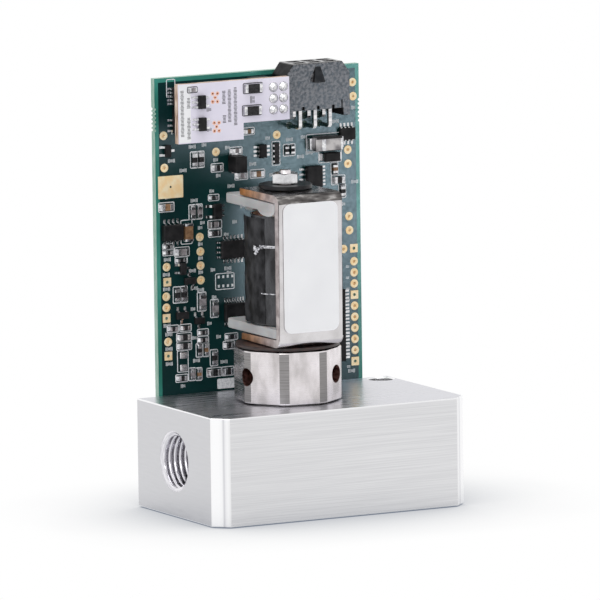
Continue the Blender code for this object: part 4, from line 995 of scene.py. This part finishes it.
def leads(x, z, width, tall, side, count, pitch, lead_width, reach, rise):
    """A row of gull-wing leads and their soldered pads on one side of a chip. Side 0 is right, 90 is up."""
    out = (width if side in (0, 180) else tall) / 2
    shapes = []
    for index in range(count):
        place = (index - (count - 1) / 2) * pitch
        bent = prism([(-0.15, rise - 0.08), (0.17 * reach, rise - 0.08), (0.42 * reach, 0.02), (reach, 0.02),
                      (reach, 0.18), (0.52 * reach, 0.18), (0.27 * reach, rise + 0.08), (-0.15, rise + 0.08)],
                     -lead_width / 2, lead_width / 2)
        lead = swung(bent, 90, "X")
        pad = slab(0.45 * reach, reach + 0.35, -lead_width / 2 - 0.05, lead_width / 2 + 0.05, -0.01, 0.06)
        shapes.append(moved(swung(moved(gathered(lead, pad), out, place), side, "Z"), x, z))
    return shapes


# A chip is its node, its place and size, its thickness and its dimple, and its rows of leads.
# A row of leads is its sides, its count and pitch, and each lead's width, reach and rise.
tantalum_place = (-6.5, 76.0)
chips = (
    ("microcontroller", (13.95, 37.1, 14.0, 16.5), 1.5, 0.6, [((0, 180), 20, 0.8, 0.34, 1.25, 0.7)]),
    ("driver_chip", (13.55, 71.5, 3.9, 4.8), 1.6, 0.3, [((0,), 6, 0.8, 0.36, 1.0, 0.75),
                                                        ((180,), 4, 1.15, 0.36, 1.0, 0.75)]),
    ("amplifier_chip", (22.35, 80.6, 3.9, 2.7), 1.1, 0.25, [((90, 270), 4, 0.95, 0.4, 0.75, 0.5)]),
    ("rectifier_diode", (18.15, 75.7, 3.8, 2.0), 1.6, 0.0, [((0, 180), 1, 1.0, 1.5, 0.7, 0.8)]),
    ("power_chip", (-22.55, 61.4, 4.9, 3.5), 1.6, 0.3, [((90, 270), 4, 1.1, 0.42, 0.95, 0.75)]),
    ("regulator_chip", (-11.05, 65.4, 2.0, 3.4), 1.2, 0.0, [((180,), 2, 2.4, 0.55, 1.5, 0.6),
                                                            ((0,), 3, 1.1, 0.4, 0.7, 0.6)]),
    ("converter_chip", (-6.95, 56.5, 6.4, 4.0), 1.1, 0.3, [((90, 270), 6, 0.9, 0.36, 0.8, 0.5),
                                                           ((180,), 4, 1.1, 0.36, 0.7, 0.5)]),
    ("interface_chip", (-6.85, 42.2, 5.4, 4.0), 1.2, 0.3, [((90, 270), 8, 0.65, 0.26, 0.9, 0.55)]),
    ("tantalum_capacitor", (*tantalum_place, 2.9, 3.6), 4.1, 0.0, []),
    ("switch_chip", (0.7, 78.2, 1.7, 3.0), 1.2, 0.0, [((0, 180), 3, 0.95, 0.4, 0.85, 0.6)]),
)
fine_leads = []
for node, where, thick, dimple, lead_rows in chips:
    chip_body(node, *where, thick, dimple)
    for sides, *row in lead_rows:
        for side in sides:
            fine_leads += leads(*where, side, *row)

# Three-lead transistors are soldered among the passives, and three small chips behind the card's edge.
transistors = [(-23.3, 79.9, 1.4, 2.7, 0), (-19.9, 53.0, 1.4, 2.7, 0), (-18.2, 50.1, 2.7, 1.4, 90),
               (-20.25, 42.4, 3.0, 1.5, 270), (-15.9, 40.9, 2.4, 1.4, 270)]
small_chips = []
for x, z, width, tall, side in transistors:
    shape = eased(slab(-width / 2, width / 2, -tall / 2, tall / 2, 0.12, 1.0), 0.14, 1, 40,
                  lambda e: all(v.co.z > 0.99 for v in e.verts))
    small_chips.append(moved(shape, x, z))
    fine_leads += leads(x, z, width, tall, (side + 180) % 360, 2, 1.8, 0.45, 0.85, 0.5)
    fine_leads += leads(x, z, width, tall, side, 1, 1.0, 0.45, 0.85, 0.5)
for z, tall, count in ((92.2, 4.2, 5), (88.5, 2.6, 0), (85.6, 3.6, 3)):
    small_chips.append(eased(slab(-21.9, -20.1, z - tall / 2, z + tall / 2, 0.12, 1.4), 0.1, 1))
    fine_leads += leads(-21.0, z, 1.8, tall, 180, count, tall / 5 if count == 5 else 1.2, 0.42, 0.85, 0.6)
piece("transistor_bodies", on_board(gathered(*small_chips)), [epoxy])

ferrite, tree, shader = started("plated inductor case", (0.60, 0.60, 0.62), 0.30, 1.0)
mottled(tree, shader, (0.35, 0.35, 0.35), 3.0, (0.38, 0.20, 0.19, 0.20), (0.6, 0.52, 0.50, 0.50))
inductor = eased(slab(-3.5, 3.5, -1.65, 1.65, chip_foot, 2.6), 0.3, 2)
# The black band along the top edge of the inductor's face is painted shade.
top_edge_painted_shade = eased(slab(-3.3, 3.3, 1.05, 1.62, 1.0, 2.66), 0.05, 1)
bands = [eased(slab(-1.9, -0.8, -1.6, 1.02, 1.0, 2.68), 0.12, 2),
         eased(slab(2.9, 3.45, -1.6, 1.02, 1.0, 2.68), 0.12, 2)]
for index, shapes in ((1, [top_edge_painted_shade]), (2, bands)):
    for shape in shapes:
        for face in shape.faces:
            face.material_index = index
inductor_place = (16.65, 79.0)
piece("inductor", on_board(moved(gathered(inductor, top_edge_painted_shade, *bands), *inductor_place)),
      [ferrite, black_glaze, solder], ["power_inductor"])

capacitor = eased(slab(-1.0, 1.0, -1.8, 1.8, 0.25, 1.5), 0.12, 2)
for face in capacitor.faces:
    face.material_index = 1 if abs(face.calc_center_median().y) > 1.7 else 0
capacitor_place = (-18.65, 61.2)
piece("large_ceramic_capacitor", on_board(moved(capacitor, *capacitor_place)),
      [brown_body, solder], ["ceramic_capacitor"])


def solder_end(place, x, z, half_width, half_tall, high, width, steps):
    """A mound of solder on a place's pad, so far to its right and above its middle."""
    mound = slab(-half_width, half_width, -half_tall, half_tall, 0.02, high)
    return moved(eased(mound, width, steps), place[0] + x, place[1] + z)


# The unfitted place has a pair of tinned pads and no component.
unfitted_place = (-20.05, 31.9)
for side in (-1, 1):
    fillets.append(solder_end(capacitor_place, 0, side * 1.75, 1.05, 0.3, 1.55, 0.1, 2))
    fillets.append(solder_end(tantalum_place, 0, side * 1.95, 0.9, 0.35, 0.9, 0.15, 2))
    fillets.append(solder_end(unfitted_place, 0, side * 1.4, 0.9, 0.75, 0.55, 0.22, 3))
    fillets.append(solder_end(inductor_place, side * 3.75, 0, 0.6, 1.3, 1.4, 0.2, 2))
piece("solder_fillets", on_board(gathered(*fillets)), [solder])
piece("chip_leads", on_board(gathered(*fine_leads)), [bright_tin])

# Board print
# White ink on the mask: an outline round each component, short strokes beside it, and one filled patch.
# It carries no lettering.
white_ink, tree, shader = started("white board ink", (0.72, 0.74, 0.76), 0.55)
mottled(tree, shader, (2.5, 2.5, 2.5), 3.0, (0.35, 0.66, 0.68, 0.70), (0.6, 0.92, 0.93, 0.94))
ink_line, ink_high = 0.19, 0.025


def outline_print(x, z, width, tall, corner=0.35):
    """A thin printed frame with rounded corners."""
    frame_shape = prism(rounded_rectangle(x - width / 2, x + width / 2, z - tall / 2, z + tall / 2,
                                          corner, 3), -0.01, ink_high)
    hole = prism(rounded_rectangle(x - width / 2 + ink_line, x + width / 2 - ink_line,
                                   z - tall / 2 + ink_line, z + tall / 2 - ink_line,
                                   max(0.1, corner - ink_line), 3), -0.01, ink_high)
    ends = [f for s in (frame_shape, hole) for f in s.faces if abs(f.normal.z) > 0.9]
    for shape in (frame_shape, hole):
        bmesh.ops.delete(shape, geom=[f for f in ends if f in shape.faces[:]], context="FACES_ONLY")
    bmesh.ops.reverse_faces(hole, faces=hole.faces)
    ring = gathered(frame_shape, hole)
    for level in (-0.01, ink_high):
        rims = [e for e in ring.edges if e.is_boundary and all(abs(v.co.z - level) < 0.001 for v in e.verts)]
        bmesh.ops.bridge_loops(ring, edges=rims)
    bmesh.ops.recalc_face_normals(ring, faces=ring.faces)
    return ring


def strokes(x, z, count, upright=False):
    """A short row of plain strokes, where a board has its reference marks."""
    marks = []
    for index in range(count):
        place = (index - (count - 1) / 2) * 0.62
        high = 0.42 - 0.1 * (index % 2)
        marks += [slab(place + shift - 0.07, place + shift + 0.07, -high, high, -0.01, ink_high)
                  for shift in (-0.15, 0.15)]
    return moved(swung(gathered(*marks), 90 if upright else 0, "Z"), x, z)


print_shapes = []
for x, z, width, tall, tone in passives:
    print_shapes.append(outline_print(x, z, width + 0.7, tall + 0.7))
for x, z, width, tall in ((4.35, 77.4, 2.2, 5.6), (*unfitted_place, 2.9, 5.0), (-9.1, 49.3, 4.9, 3.8),
                          (*capacitor_place, 3.0, 5.6), (*inductor_place, 9.2, 4.2), (18.15, 75.7, 6.0, 2.8),
                          (-22.1, 94.0, 2.3, 4.2)):
    print_shapes.append(outline_print(x, z, width, tall))
for x, z, count in ((-16.9, 80.4, 3), (-13.9, 80.6, 2), (-11.0, 77.0, 2), (-8.0, 79.6, 2), (-10.4, 73.4, 2),
                    (-19.3, 75.2, 3), (-16.6, 68.2, 3), (-14.6, 63.0, 2), (-12.1, 70.0, 2), (-23.4, 69.4, 2),
                    (-15.2, 61.9, 2), (-15.2, 58.2, 2), (-15.2, 55.0, 2), (-15.2, 51.8, 2), (-8.6, 59.9, 2),
                    (-23.6, 55.3, 3), (-23.9, 51.9, 3), (-23.9, 48.6, 3), (-23.9, 40.3, 3), (-23.5, 38.3, 3),
                    (-23.5, 35.0, 3), (-23.5, 31.6, 3), (-17.3, 52.3, 3), (-16.9, 48.3, 3), (-17.3, 43.6, 2),
                    (-15.3, 47.8, 3), (-11.9, 45.9, 2), (-12.1, 52.1, 2), (-8.3, 52.2, 3), (-8.0, 51.2, 2),
                    (-13.2, 40.0, 2), (-17.1, 37.0, 2), (-16.6, 31.8, 3), (-20.1, 26.3, 2), (-9.6, 31.0, 3),
                    (-10.9, 36.8, 2), (-22.2, 77.6, 3), (-21.6, 84.0, 2), (-6.4, 62.6, 2), (-4.4, 66.0, 2),
                    (7.8, 80.3, 3), (11.3, 80.6, 2), (10.6, 76.2, 3), (19.6, 83.6, 3), (12.8, 76.9, 3),
                    (21.4, 70.1, 2), (21.3, 64.6, 2), (24.2, 86.4, 2), (24.4, 69.5, 3), (2.3, 81.0, 2),
                    (-1.6, 75.4, 3), (3.2, 72.6, 2), (-7.2, 70.8, 3), (23.0, 26.3, 3)):
    print_shapes.append(strokes(x, z, count))
for index in range(10):
    print_shapes.append(strokes(22.25, 50.2 - pin_pitch * index, 1, True))
for index in range(4):
    for side in (-1, 1):
        print_shapes.append(slab(-10.9 + 1.15 * index, -10.4 + 1.15 * index, 49.3 + side * 1.05 - 0.3,
                                 49.3 + side * 1.05 + 0.3, -0.01, ink_high))
print_shapes.append(prism(rounded_rectangle(-11.4, -6.0, 24.9, 27.2, 0.3, 3), -0.01, ink_high))
piece("board_print", on_board(gathered(*print_shapes)), [white_ink])

# Power connector
# A six-way housing moulded in black glass-filled nylon, open at the top, with a latch ramp in front
# and a foot at each end. The bent pins come out under it and are soldered into the board.
shell_left, shell_right, shell_low, shell_high = 3.45, 19.8, 87.5, 98.2
shell_back, shell_front = 0.25, 6.95
foot_low, foot_width = 85.8, 1.8
chamfer_x, chamfer_z = 1.9, 2.6
well_x, well_y, well_depth = 2.91, 2.1, 8.0
well_rows = (2.1, 5.1)
filled_nylon, tree, shader = started("glass-filled nylon", (0.03, 0.03, 0.031), 0.45, specular=0.09)
fibres = grain(tree, (1.4, 1.4, 1.4), 5.0)
tree.links.new(ramp(tree, fibres, (0.40, 0.012, 0.012, 0.013), (0.60, 0.17, 0.165, 0.17)),
               shader.inputs["Base Color"])
tree.links.new(spread(tree, fibres, 0.34, 0.55), shader.inputs["Roughness"])
relief(tree, shader, grain(tree, (2.2, 2.2, 2.2), 4.0), 0.05, 0.7)
shell = prism([(shell_left, foot_low), (shell_left + foot_width, foot_low),
               (shell_left + foot_width, shell_low), (shell_right - foot_width, shell_low),
               (shell_right - foot_width, foot_low), (shell_right, foot_low),
               (shell_right, shell_high - chamfer_z), (shell_right - chamfer_x, shell_high),
               (shell_left + chamfer_x, shell_high), (shell_left, shell_high - chamfer_z)],
              shell_back, shell_front)
shell = eased(shell, 0.22, 2, 30)
latch_high, latch_low, latch_root, latch_reach, latch_half = 97.4, 93.8, 6.7, 1.1, 1.4
latch = across(prism([(latch_high, latch_root), (latch_high, shell_front),
                      (latch_low, shell_front + latch_reach), (latch_low, latch_root)],
                     -latch_half, latch_half))
for vert in latch.verts:
    if vert.co.y > latch_high - 0.4:
        vert.co.x *= 0.5
shell = fused(shell, moved(eased(latch, 0.08, 1, 30), connector_columns[1]))
wells, outlets = [], []
for x in connector_columns:
    for y in well_rows:
        wells.append(eased(slab(x - well_x / 2, x + well_x / 2, shell_high - well_depth, shell_high + 1,
                                y - well_y / 2, y + well_y / 2), 0.25, 2,
                           40, lambda e: abs(e.verts[0].co.y - e.verts[1].co.y) > 5))
        outlets.append(moved(swung(rod(0.85, shell_low - 3, shell_high - well_depth + 0.5, 20), -90, "X"),
                             x, 0, y))
    outlets.append(slab(x - 0.35, x + 0.35, shell_low - 1, shell_low + 0.9,
                        shell_front - 0.9, shell_front + 1))
outlets.append(slab(17.55, 17.85, shell_low - 1, shell_low + 2.0, shell_front - 0.5, shell_front + 1))
shell = cut(shell, *wells)
shell = cut(shell, *outlets)
# The left faces, the latch and the insides of the wells are painted near black: painted shade.
side_and_well_painted_shade, tree, shader = started("moulded nylon with painted shade", (0.008, 0.008, 0.009), 0.5, specular=0.12)
mottled(tree, shader, (0.7, 0.7, 0.7), 4.0, (0.38, 0.005, 0.005, 0.006), (0.62, 0.02, 0.02, 0.021))
glossy_rim, tree, shader = started("rubbed nylon rim", (0.03, 0.03, 0.031), 0.14)
mottled(tree, shader, (0.9, 0.9, 0.9), 3.0, (0.38, 0.02, 0.02, 0.021), (0.62, 0.06, 0.06, 0.061))
for face in shell.faces:
    middle = face.calc_center_median()
    on_latch = middle.z > shell_front + 0.05
    if face.normal.y > 0.6 and middle.y > shell_high - 0.4:
        face.material_index = 2
        continue
    # Left-facing faces, the latch and the well insides take the painted shade.
    inside_well = middle.z < shell_front - 0.6 and middle.y > shell_low and abs(face.normal.z) < 0.9 and (
        shell_left + 0.5 < middle.x < shell_right - 0.5)
    if on_latch or face.normal.x < -0.6 or (inside_well and face.normal.y < 0.9):
        face.material_index = 1
piece("connector_shell", on_board(shell), [filled_nylon, side_and_well_painted_shade, glossy_rim],
                  ["connector_housing"])

# The sheen lamp shows only in the board and the connector.
sheen_receivers = bpy.data.collections.new("sheen")
for name in ("board", "connector_shell"):
    sheen_receivers.objects.link(bpy.data.objects[name])
sheen_lamp.light_linking.receiver_collection = sheen_receivers

tin_pin, tree, shader = started("tinned square wire", (0.76, 0.76, 0.77), 0.2, 1.0)
mottled(tree, shader, (0.4, 0.4, 2.0), 3.0, (0.35, 0.56, 0.56, 0.58), (0.65, 0.88, 0.87, 0.87))
relief(tree, shader, grain(tree, (1.2, 1.2, 1.2), 2.0), 0.02, 0.3)


def kept(names, finish):
    """Gives solids whose shape is already right their real finish."""
    for name in names:
        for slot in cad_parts[name].material_slots:
            slot.material = finish


kept([f"connector_pin_{i}" for i in range(1, 7)] + [f"header_pin_{i}" for i in range(1, 7)]
     + ["coil_terminal_1", "coil_terminal_2"], tin_pin)

# Soldered tails
# Where pins come through the boards, solder has wetted them and their plated lands into small cones.
# The card's joints face forwards, and all the others are on the main board's back.
pin_places = [(x, z, 0.4) for x in connector_columns for z in (front_bend, back_bend)]
pin_places += [(valve_x + side * terminal_x, terminal_z, 0.4) for side in (-1, 1)]
pin_places += [(x, z, 0.32) for x in header_columns for z in header_rows]
joints = []
for x, z, half_pin in pin_places:
    cone = turned([(0, -0.4), (1.02, -0.4), (1.02, 0.05), (0.86, 0.12), (0.62, 0.42), (half_pin + 0.08, 0.95),
                   (0, 1.0)], 32)
    joints.append(moved(swung(cone, 180, "X"), x, z, -board_thick))
card_low, card_high = 9.75, 11.35
for x in header_columns:
    for z in header_rows:
        dome = turned([(0, -0.4), (0.7, -0.4), (0.7, 0), (1.06, 0), (1.06, 0.07), (0.98, 0.12), (0.84, 0.34),
                       (0.6, 0.6), (0.42, 0.76), (0, 0.8)], 36)
        joints.append(moved(dome, x, z, card_high))
piece("pin_solder", on_board(gathered(*joints)), [solder])

# Stacking header
# Two black moulded strips on six square pins carry the small card in front of the main board.
# Each strip has notched sides, so that it can be snapped to length.
strip_x, strip_z, strip_high, notch = -0.75, 91.5, pin_pitch, 0.38
strip_outline = []
for row in range(3):
    low = strip_z + pin_pitch * (row - 1.5)
    strip_outline += [(strip_x + pin_pitch - notch, low), (strip_x + pin_pitch, low + notch),
                      (strip_x + pin_pitch, low + pin_pitch - notch)]
strip_outline += [(strip_x + pin_pitch - notch, strip_z + 1.5 * pin_pitch)]
strip_outline += [(2 * strip_x - x, 2 * strip_z - z) for x, z in strip_outline]
strip_plastic, tree, shader = started("black header plastic", (0.016, 0.016, 0.018), 0.38)
mottled(tree, shader, (1.0, 1.0, 1.0), 3.0, (0.35, 0.010, 0.010, 0.011), (0.65, 0.03, 0.03, 0.033))
for name, low in (("header_base", 0.25), ("header_spacer", card_low - 0.25 - strip_high)):
    bores = [moved(rod(header_hole, low - 1, low + strip_high + 1, 24), x, z)
             for x in header_columns for z in header_rows]
    strip_shape = cut(eased(prism(strip_outline, low, low + strip_high), 0.1, 1, 30), *bores)
    piece(name + "_strip", on_board(strip_shape), [strip_plastic], [name])

# Daughter card
# A small L-shaped card with white solder mask and black ink, its laminate brown at the sawn edges.
# It carries two five-lead chips, two large resistors, a small capacitor, two groups of vias and a
# strip of white film.
card_left, card_right, card_floor, card_top = -26.15, 2.0, 82.8, 96.2
card_step_x, card_step_z = -9.7, 86.5
white_mask, tree, shader = started("white solder mask", (0.76, 0.72, 0.82), 0.42)
mottled(tree, shader, (0.12, 0.12, 0.12), 3.0, (0.35, 0.71, 0.68, 0.79), (0.65, 0.80, 0.765, 0.86))
relief(tree, shader, grain(tree, (3.0, 3.0, 3.0), 3.0), 0.01, 0.25)
brown_edge, tree, shader = started("sawn brown laminate", (0.42, 0.27, 0.17), 0.6)
mottled(tree, shader, (0.3, 2.2, 0.3), 2.0, (0.36, 0.20, 0.10, 0.06), (0.5, 0.50, 0.34, 0.24),
        (0.64, 0.72, 0.60, 0.50))
card = prism([(card_left, card_floor), (card_step_x, card_floor), (card_step_x, card_step_z),
              (card_right, card_step_z), (card_right, card_top), (card_left, card_top)], card_low, card_high)
via_spots = [(x + dx, z + dz) for x, z in ((-16.8, 92.7), (-16.5, 86.1))
             for dx, dz in ((-0.59, -0.9), (0.59, -0.9), (0, 0), (-0.59, 0.9), (0.59, 0.9))]
drills = [moved(rod(header_hole, card_low - 1, card_high + 1, 24), x, z) for x in header_columns
          for z in header_rows]
drills += [moved(rod(0.24, card_low - 1, card_high + 1, 16), x, z) for x, z in via_spots]
card = cut(card, *drills)
for face in card.faces:
    face.material_index = 0 if abs(face.normal.z) > 0.9 else 1
piece("card", on_board(card), [white_mask, brown_edge], ["daughter_board"], 30)

via_copper, tree, shader = started("copper via rims", (0.92, 0.52, 0.36), 0.45, 0.4)
mottled(tree, shader, (2.0, 2.0, 2.0), 3.0, (0.35, 0.85, 0.42, 0.28), (0.65, 0.96, 0.66, 0.52))
rims = [moved(turned([(0.21, card_low - 0.02), (0.45, card_low - 0.02), (0.45, card_low), (0.26, card_low),
                      (0.26, card_high), (0.45, card_high), (0.45, card_high + 0.02),
                      (0.21, card_high + 0.02)], 20), x, z)
        for x, z in via_spots]
piece("card_vias", on_board(gathered(*rims)), [via_copper])

black_ink, tree, shader = started("black card ink", (0.02, 0.02, 0.025), 0.5)
mottled(tree, shader, (2.0, 2.0, 2.0), 3.0, (0.35, 0.012, 0.012, 0.016), (0.65, 0.06, 0.06, 0.07))
card_print = [outline_print(x, z, width, tall) for x, z, width, tall in (
    (-7.25, 94.2, 5.0, 2.5), (-7.55, 89.2, 5.0, 2.5), (-22.5, 94.85, 2.7, 1.5))]
card_print += [strokes(x, z, count, True) for x, z, count in (
    (-25.1, 89.6, 17), (-23.5, 91.9, 4), (-23.5, 86.2, 8), (-14.6, 92.6, 5), (-14.5, 87.7, 3),
    (-13.2, 90.6, 12), (-11.7, 90.4, 14))]
card_print += [strokes(x, z, 2) for x, z in ((-18.4, 90.1), (-18.4, 85.6), (-7.4, 92.0), (-7.4, 91.2))]
card_print += [outline_print(x, z, 2.3, 2.2, 1.1) for x in header_columns for z in header_rows]
white_strip = moved(prism([(card_left + 0.25, card_floor + 0.2), (-22.95, card_floor + 0.2),
                           (-22.95, card_top - 0.2), (card_left + 0.25, card_top - 0.2)], 0.0, 0.012),
                    0, 0, card_high)
piece("card_strip", on_board(white_strip), [paper])
piece("card_print", on_board(moved(gathered(*card_print), 0, 0, card_high)), [black_ink])

card_leads, card_fillets = [], []
for node, x, z, width, tall, thick in (("card_chip_1", -20.45, 92.0, 1.7, 3.0, 1.2),
                                       ("card_chip_2", -20.35, 87.0, 1.7, 3.0, 1.2),
                                       ("card_resistor_1", -7.25, 94.2, 4.4, 1.9, 0.8),
                                       ("card_resistor_2", -7.55, 89.2, 4.4, 1.9, 0.8)):
    if node.startswith("card_chip"):
        shape = eased(slab(-width / 2, width / 2, -tall / 2, tall / 2, chip_foot, thick), 0.14, 1, 40,
                      lambda e: all(v.co.z > 1.19 for v in e.verts))
        card_leads += leads(x, z, width, tall, 180, 3, 1.1, 0.42, 1.1, 0.6)
        card_leads += leads(x, z, width, tall, 0, 2, 1.9, 0.42, 0.9, 0.6)
        finish = epoxy
    else:
        shape = eased(slab(-width / 2 + 0.75, width / 2 - 0.75, -tall / 2, tall / 2, chip_foot, thick),
                      0.06, 1)
        for side in (-1, 1):
            near, far = sorted((side * (width / 2 - 0.8), side * width / 2))
            cap = eased(slab(near, far, -tall / 2, tall / 2, 0.02, thick - 0.05), 0.1, 2)
            card_fillets.append(moved(cap, x, z))
        finish = black_glaze
    piece(node + "_body", on_board(moved(shape, x, z, card_high)), [finish], [node])
card_fillets += [moved(eased(slab(-1.0, -0.45, -0.45, 0.45, 0.02, 0.55), 0.06, 1), -22.5, 94.85),
                 moved(eased(slab(0.6, 1.0, -0.45, 0.45, 0.02, 0.55), 0.06, 1), -22.5, 94.85)]
small_capacitor = eased(slab(-0.5, 0.65, -0.42, 0.42, 0.02, 0.5), 0.05, 1)
piece("card_capacitor", on_board(moved(small_capacitor, -22.5, 94.85, card_high)),
      [grey_body])
piece("card_solder", on_board(moved(gathered(*card_fillets, *card_leads), 0, 0, card_high)),
      [solder])

# Board screws
# Four button-head screws in turned steel hold the main board to the block, each with a hexagon socket.
# They are put in from behind, so only their heads show.
head_radius, head_low, head_high = 2.8, 1.85, 3.85
socket_flats, socket_depth = 2.1, 1.1
shank_radius, shank_depth = 1.5, 8.0
for index, (x, z) in enumerate([(x, z) for x in screw_xs for z in screw_zs], start=1):
    dome = arc((0, head_low - 1.15), 3.15, 27, 72, 6)
    profile = [(0, -shank_depth), (shank_radius - 0.4, -shank_depth), (shank_radius, -shank_depth + 0.4),
               (shank_radius, head_low), (head_radius, head_low)] + dome + [(0, head_high)]
    screw = turned([(radius, min(high, head_high)) for radius, high in profile], 48)
    socket = prism(hexagon(socket_flats), head_high - socket_depth, head_high + 1)
    piece(f"screw_{index}", on_board(moved(swung(cut(screw, socket), 180, "X"), x, z)),
          [steel], [f"board_screw_{index}"])

# Inner pieces
# The winding, guide tube, plunger, spring, seat, seals and pressure sensor are hidden in the assembly.
# Their solids already have the right shape, so each keeps it and gets its real finish.
copper, tree, shader = started("enamelled copper wire", (0.70, 0.30, 0.14), 0.3, 1.0)
strands = grain(tree, (0.05, 0.05, 4.0), 3.0)
tree.links.new(ramp(tree, strands, (0.35, 0.42, 0.15, 0.07), (0.65, 0.86, 0.42, 0.22)),
               shader.inputs["Base Color"])
relief(tree, shader, strands, 0.08, 0.8)
brass, tree, shader = started("turned brass", (0.80, 0.58, 0.27), 0.25, 1.0)
rings = grain(tree, (0.1, 0.1, 6.0), 3.0)
tree.links.new(ramp(tree, rings, (0.35, 0.70, 0.48, 0.20), (0.65, 0.86, 0.66, 0.34)),
               shader.inputs["Base Color"])
relief(tree, shader, rings, 0.01, 0.3)
seal_rubber, tree, shader = started("black seal rubber", (0.015, 0.015, 0.015), 0.5)
mottled(tree, shader, (1.5, 1.5, 1.5), 3.0, (0.35, 0.010, 0.010, 0.010), (0.65, 0.03, 0.03, 0.03))
kept(["coil_winding"], copper)
kept(["valve_seat"], brass)
kept(["guide_tube", "plunger", "plunger_spring", "pressure_sensor"], steel)
kept(["body_o_ring", "seat_o_ring", "plunger_seal", "sensor_o_ring"], seal_rubber)
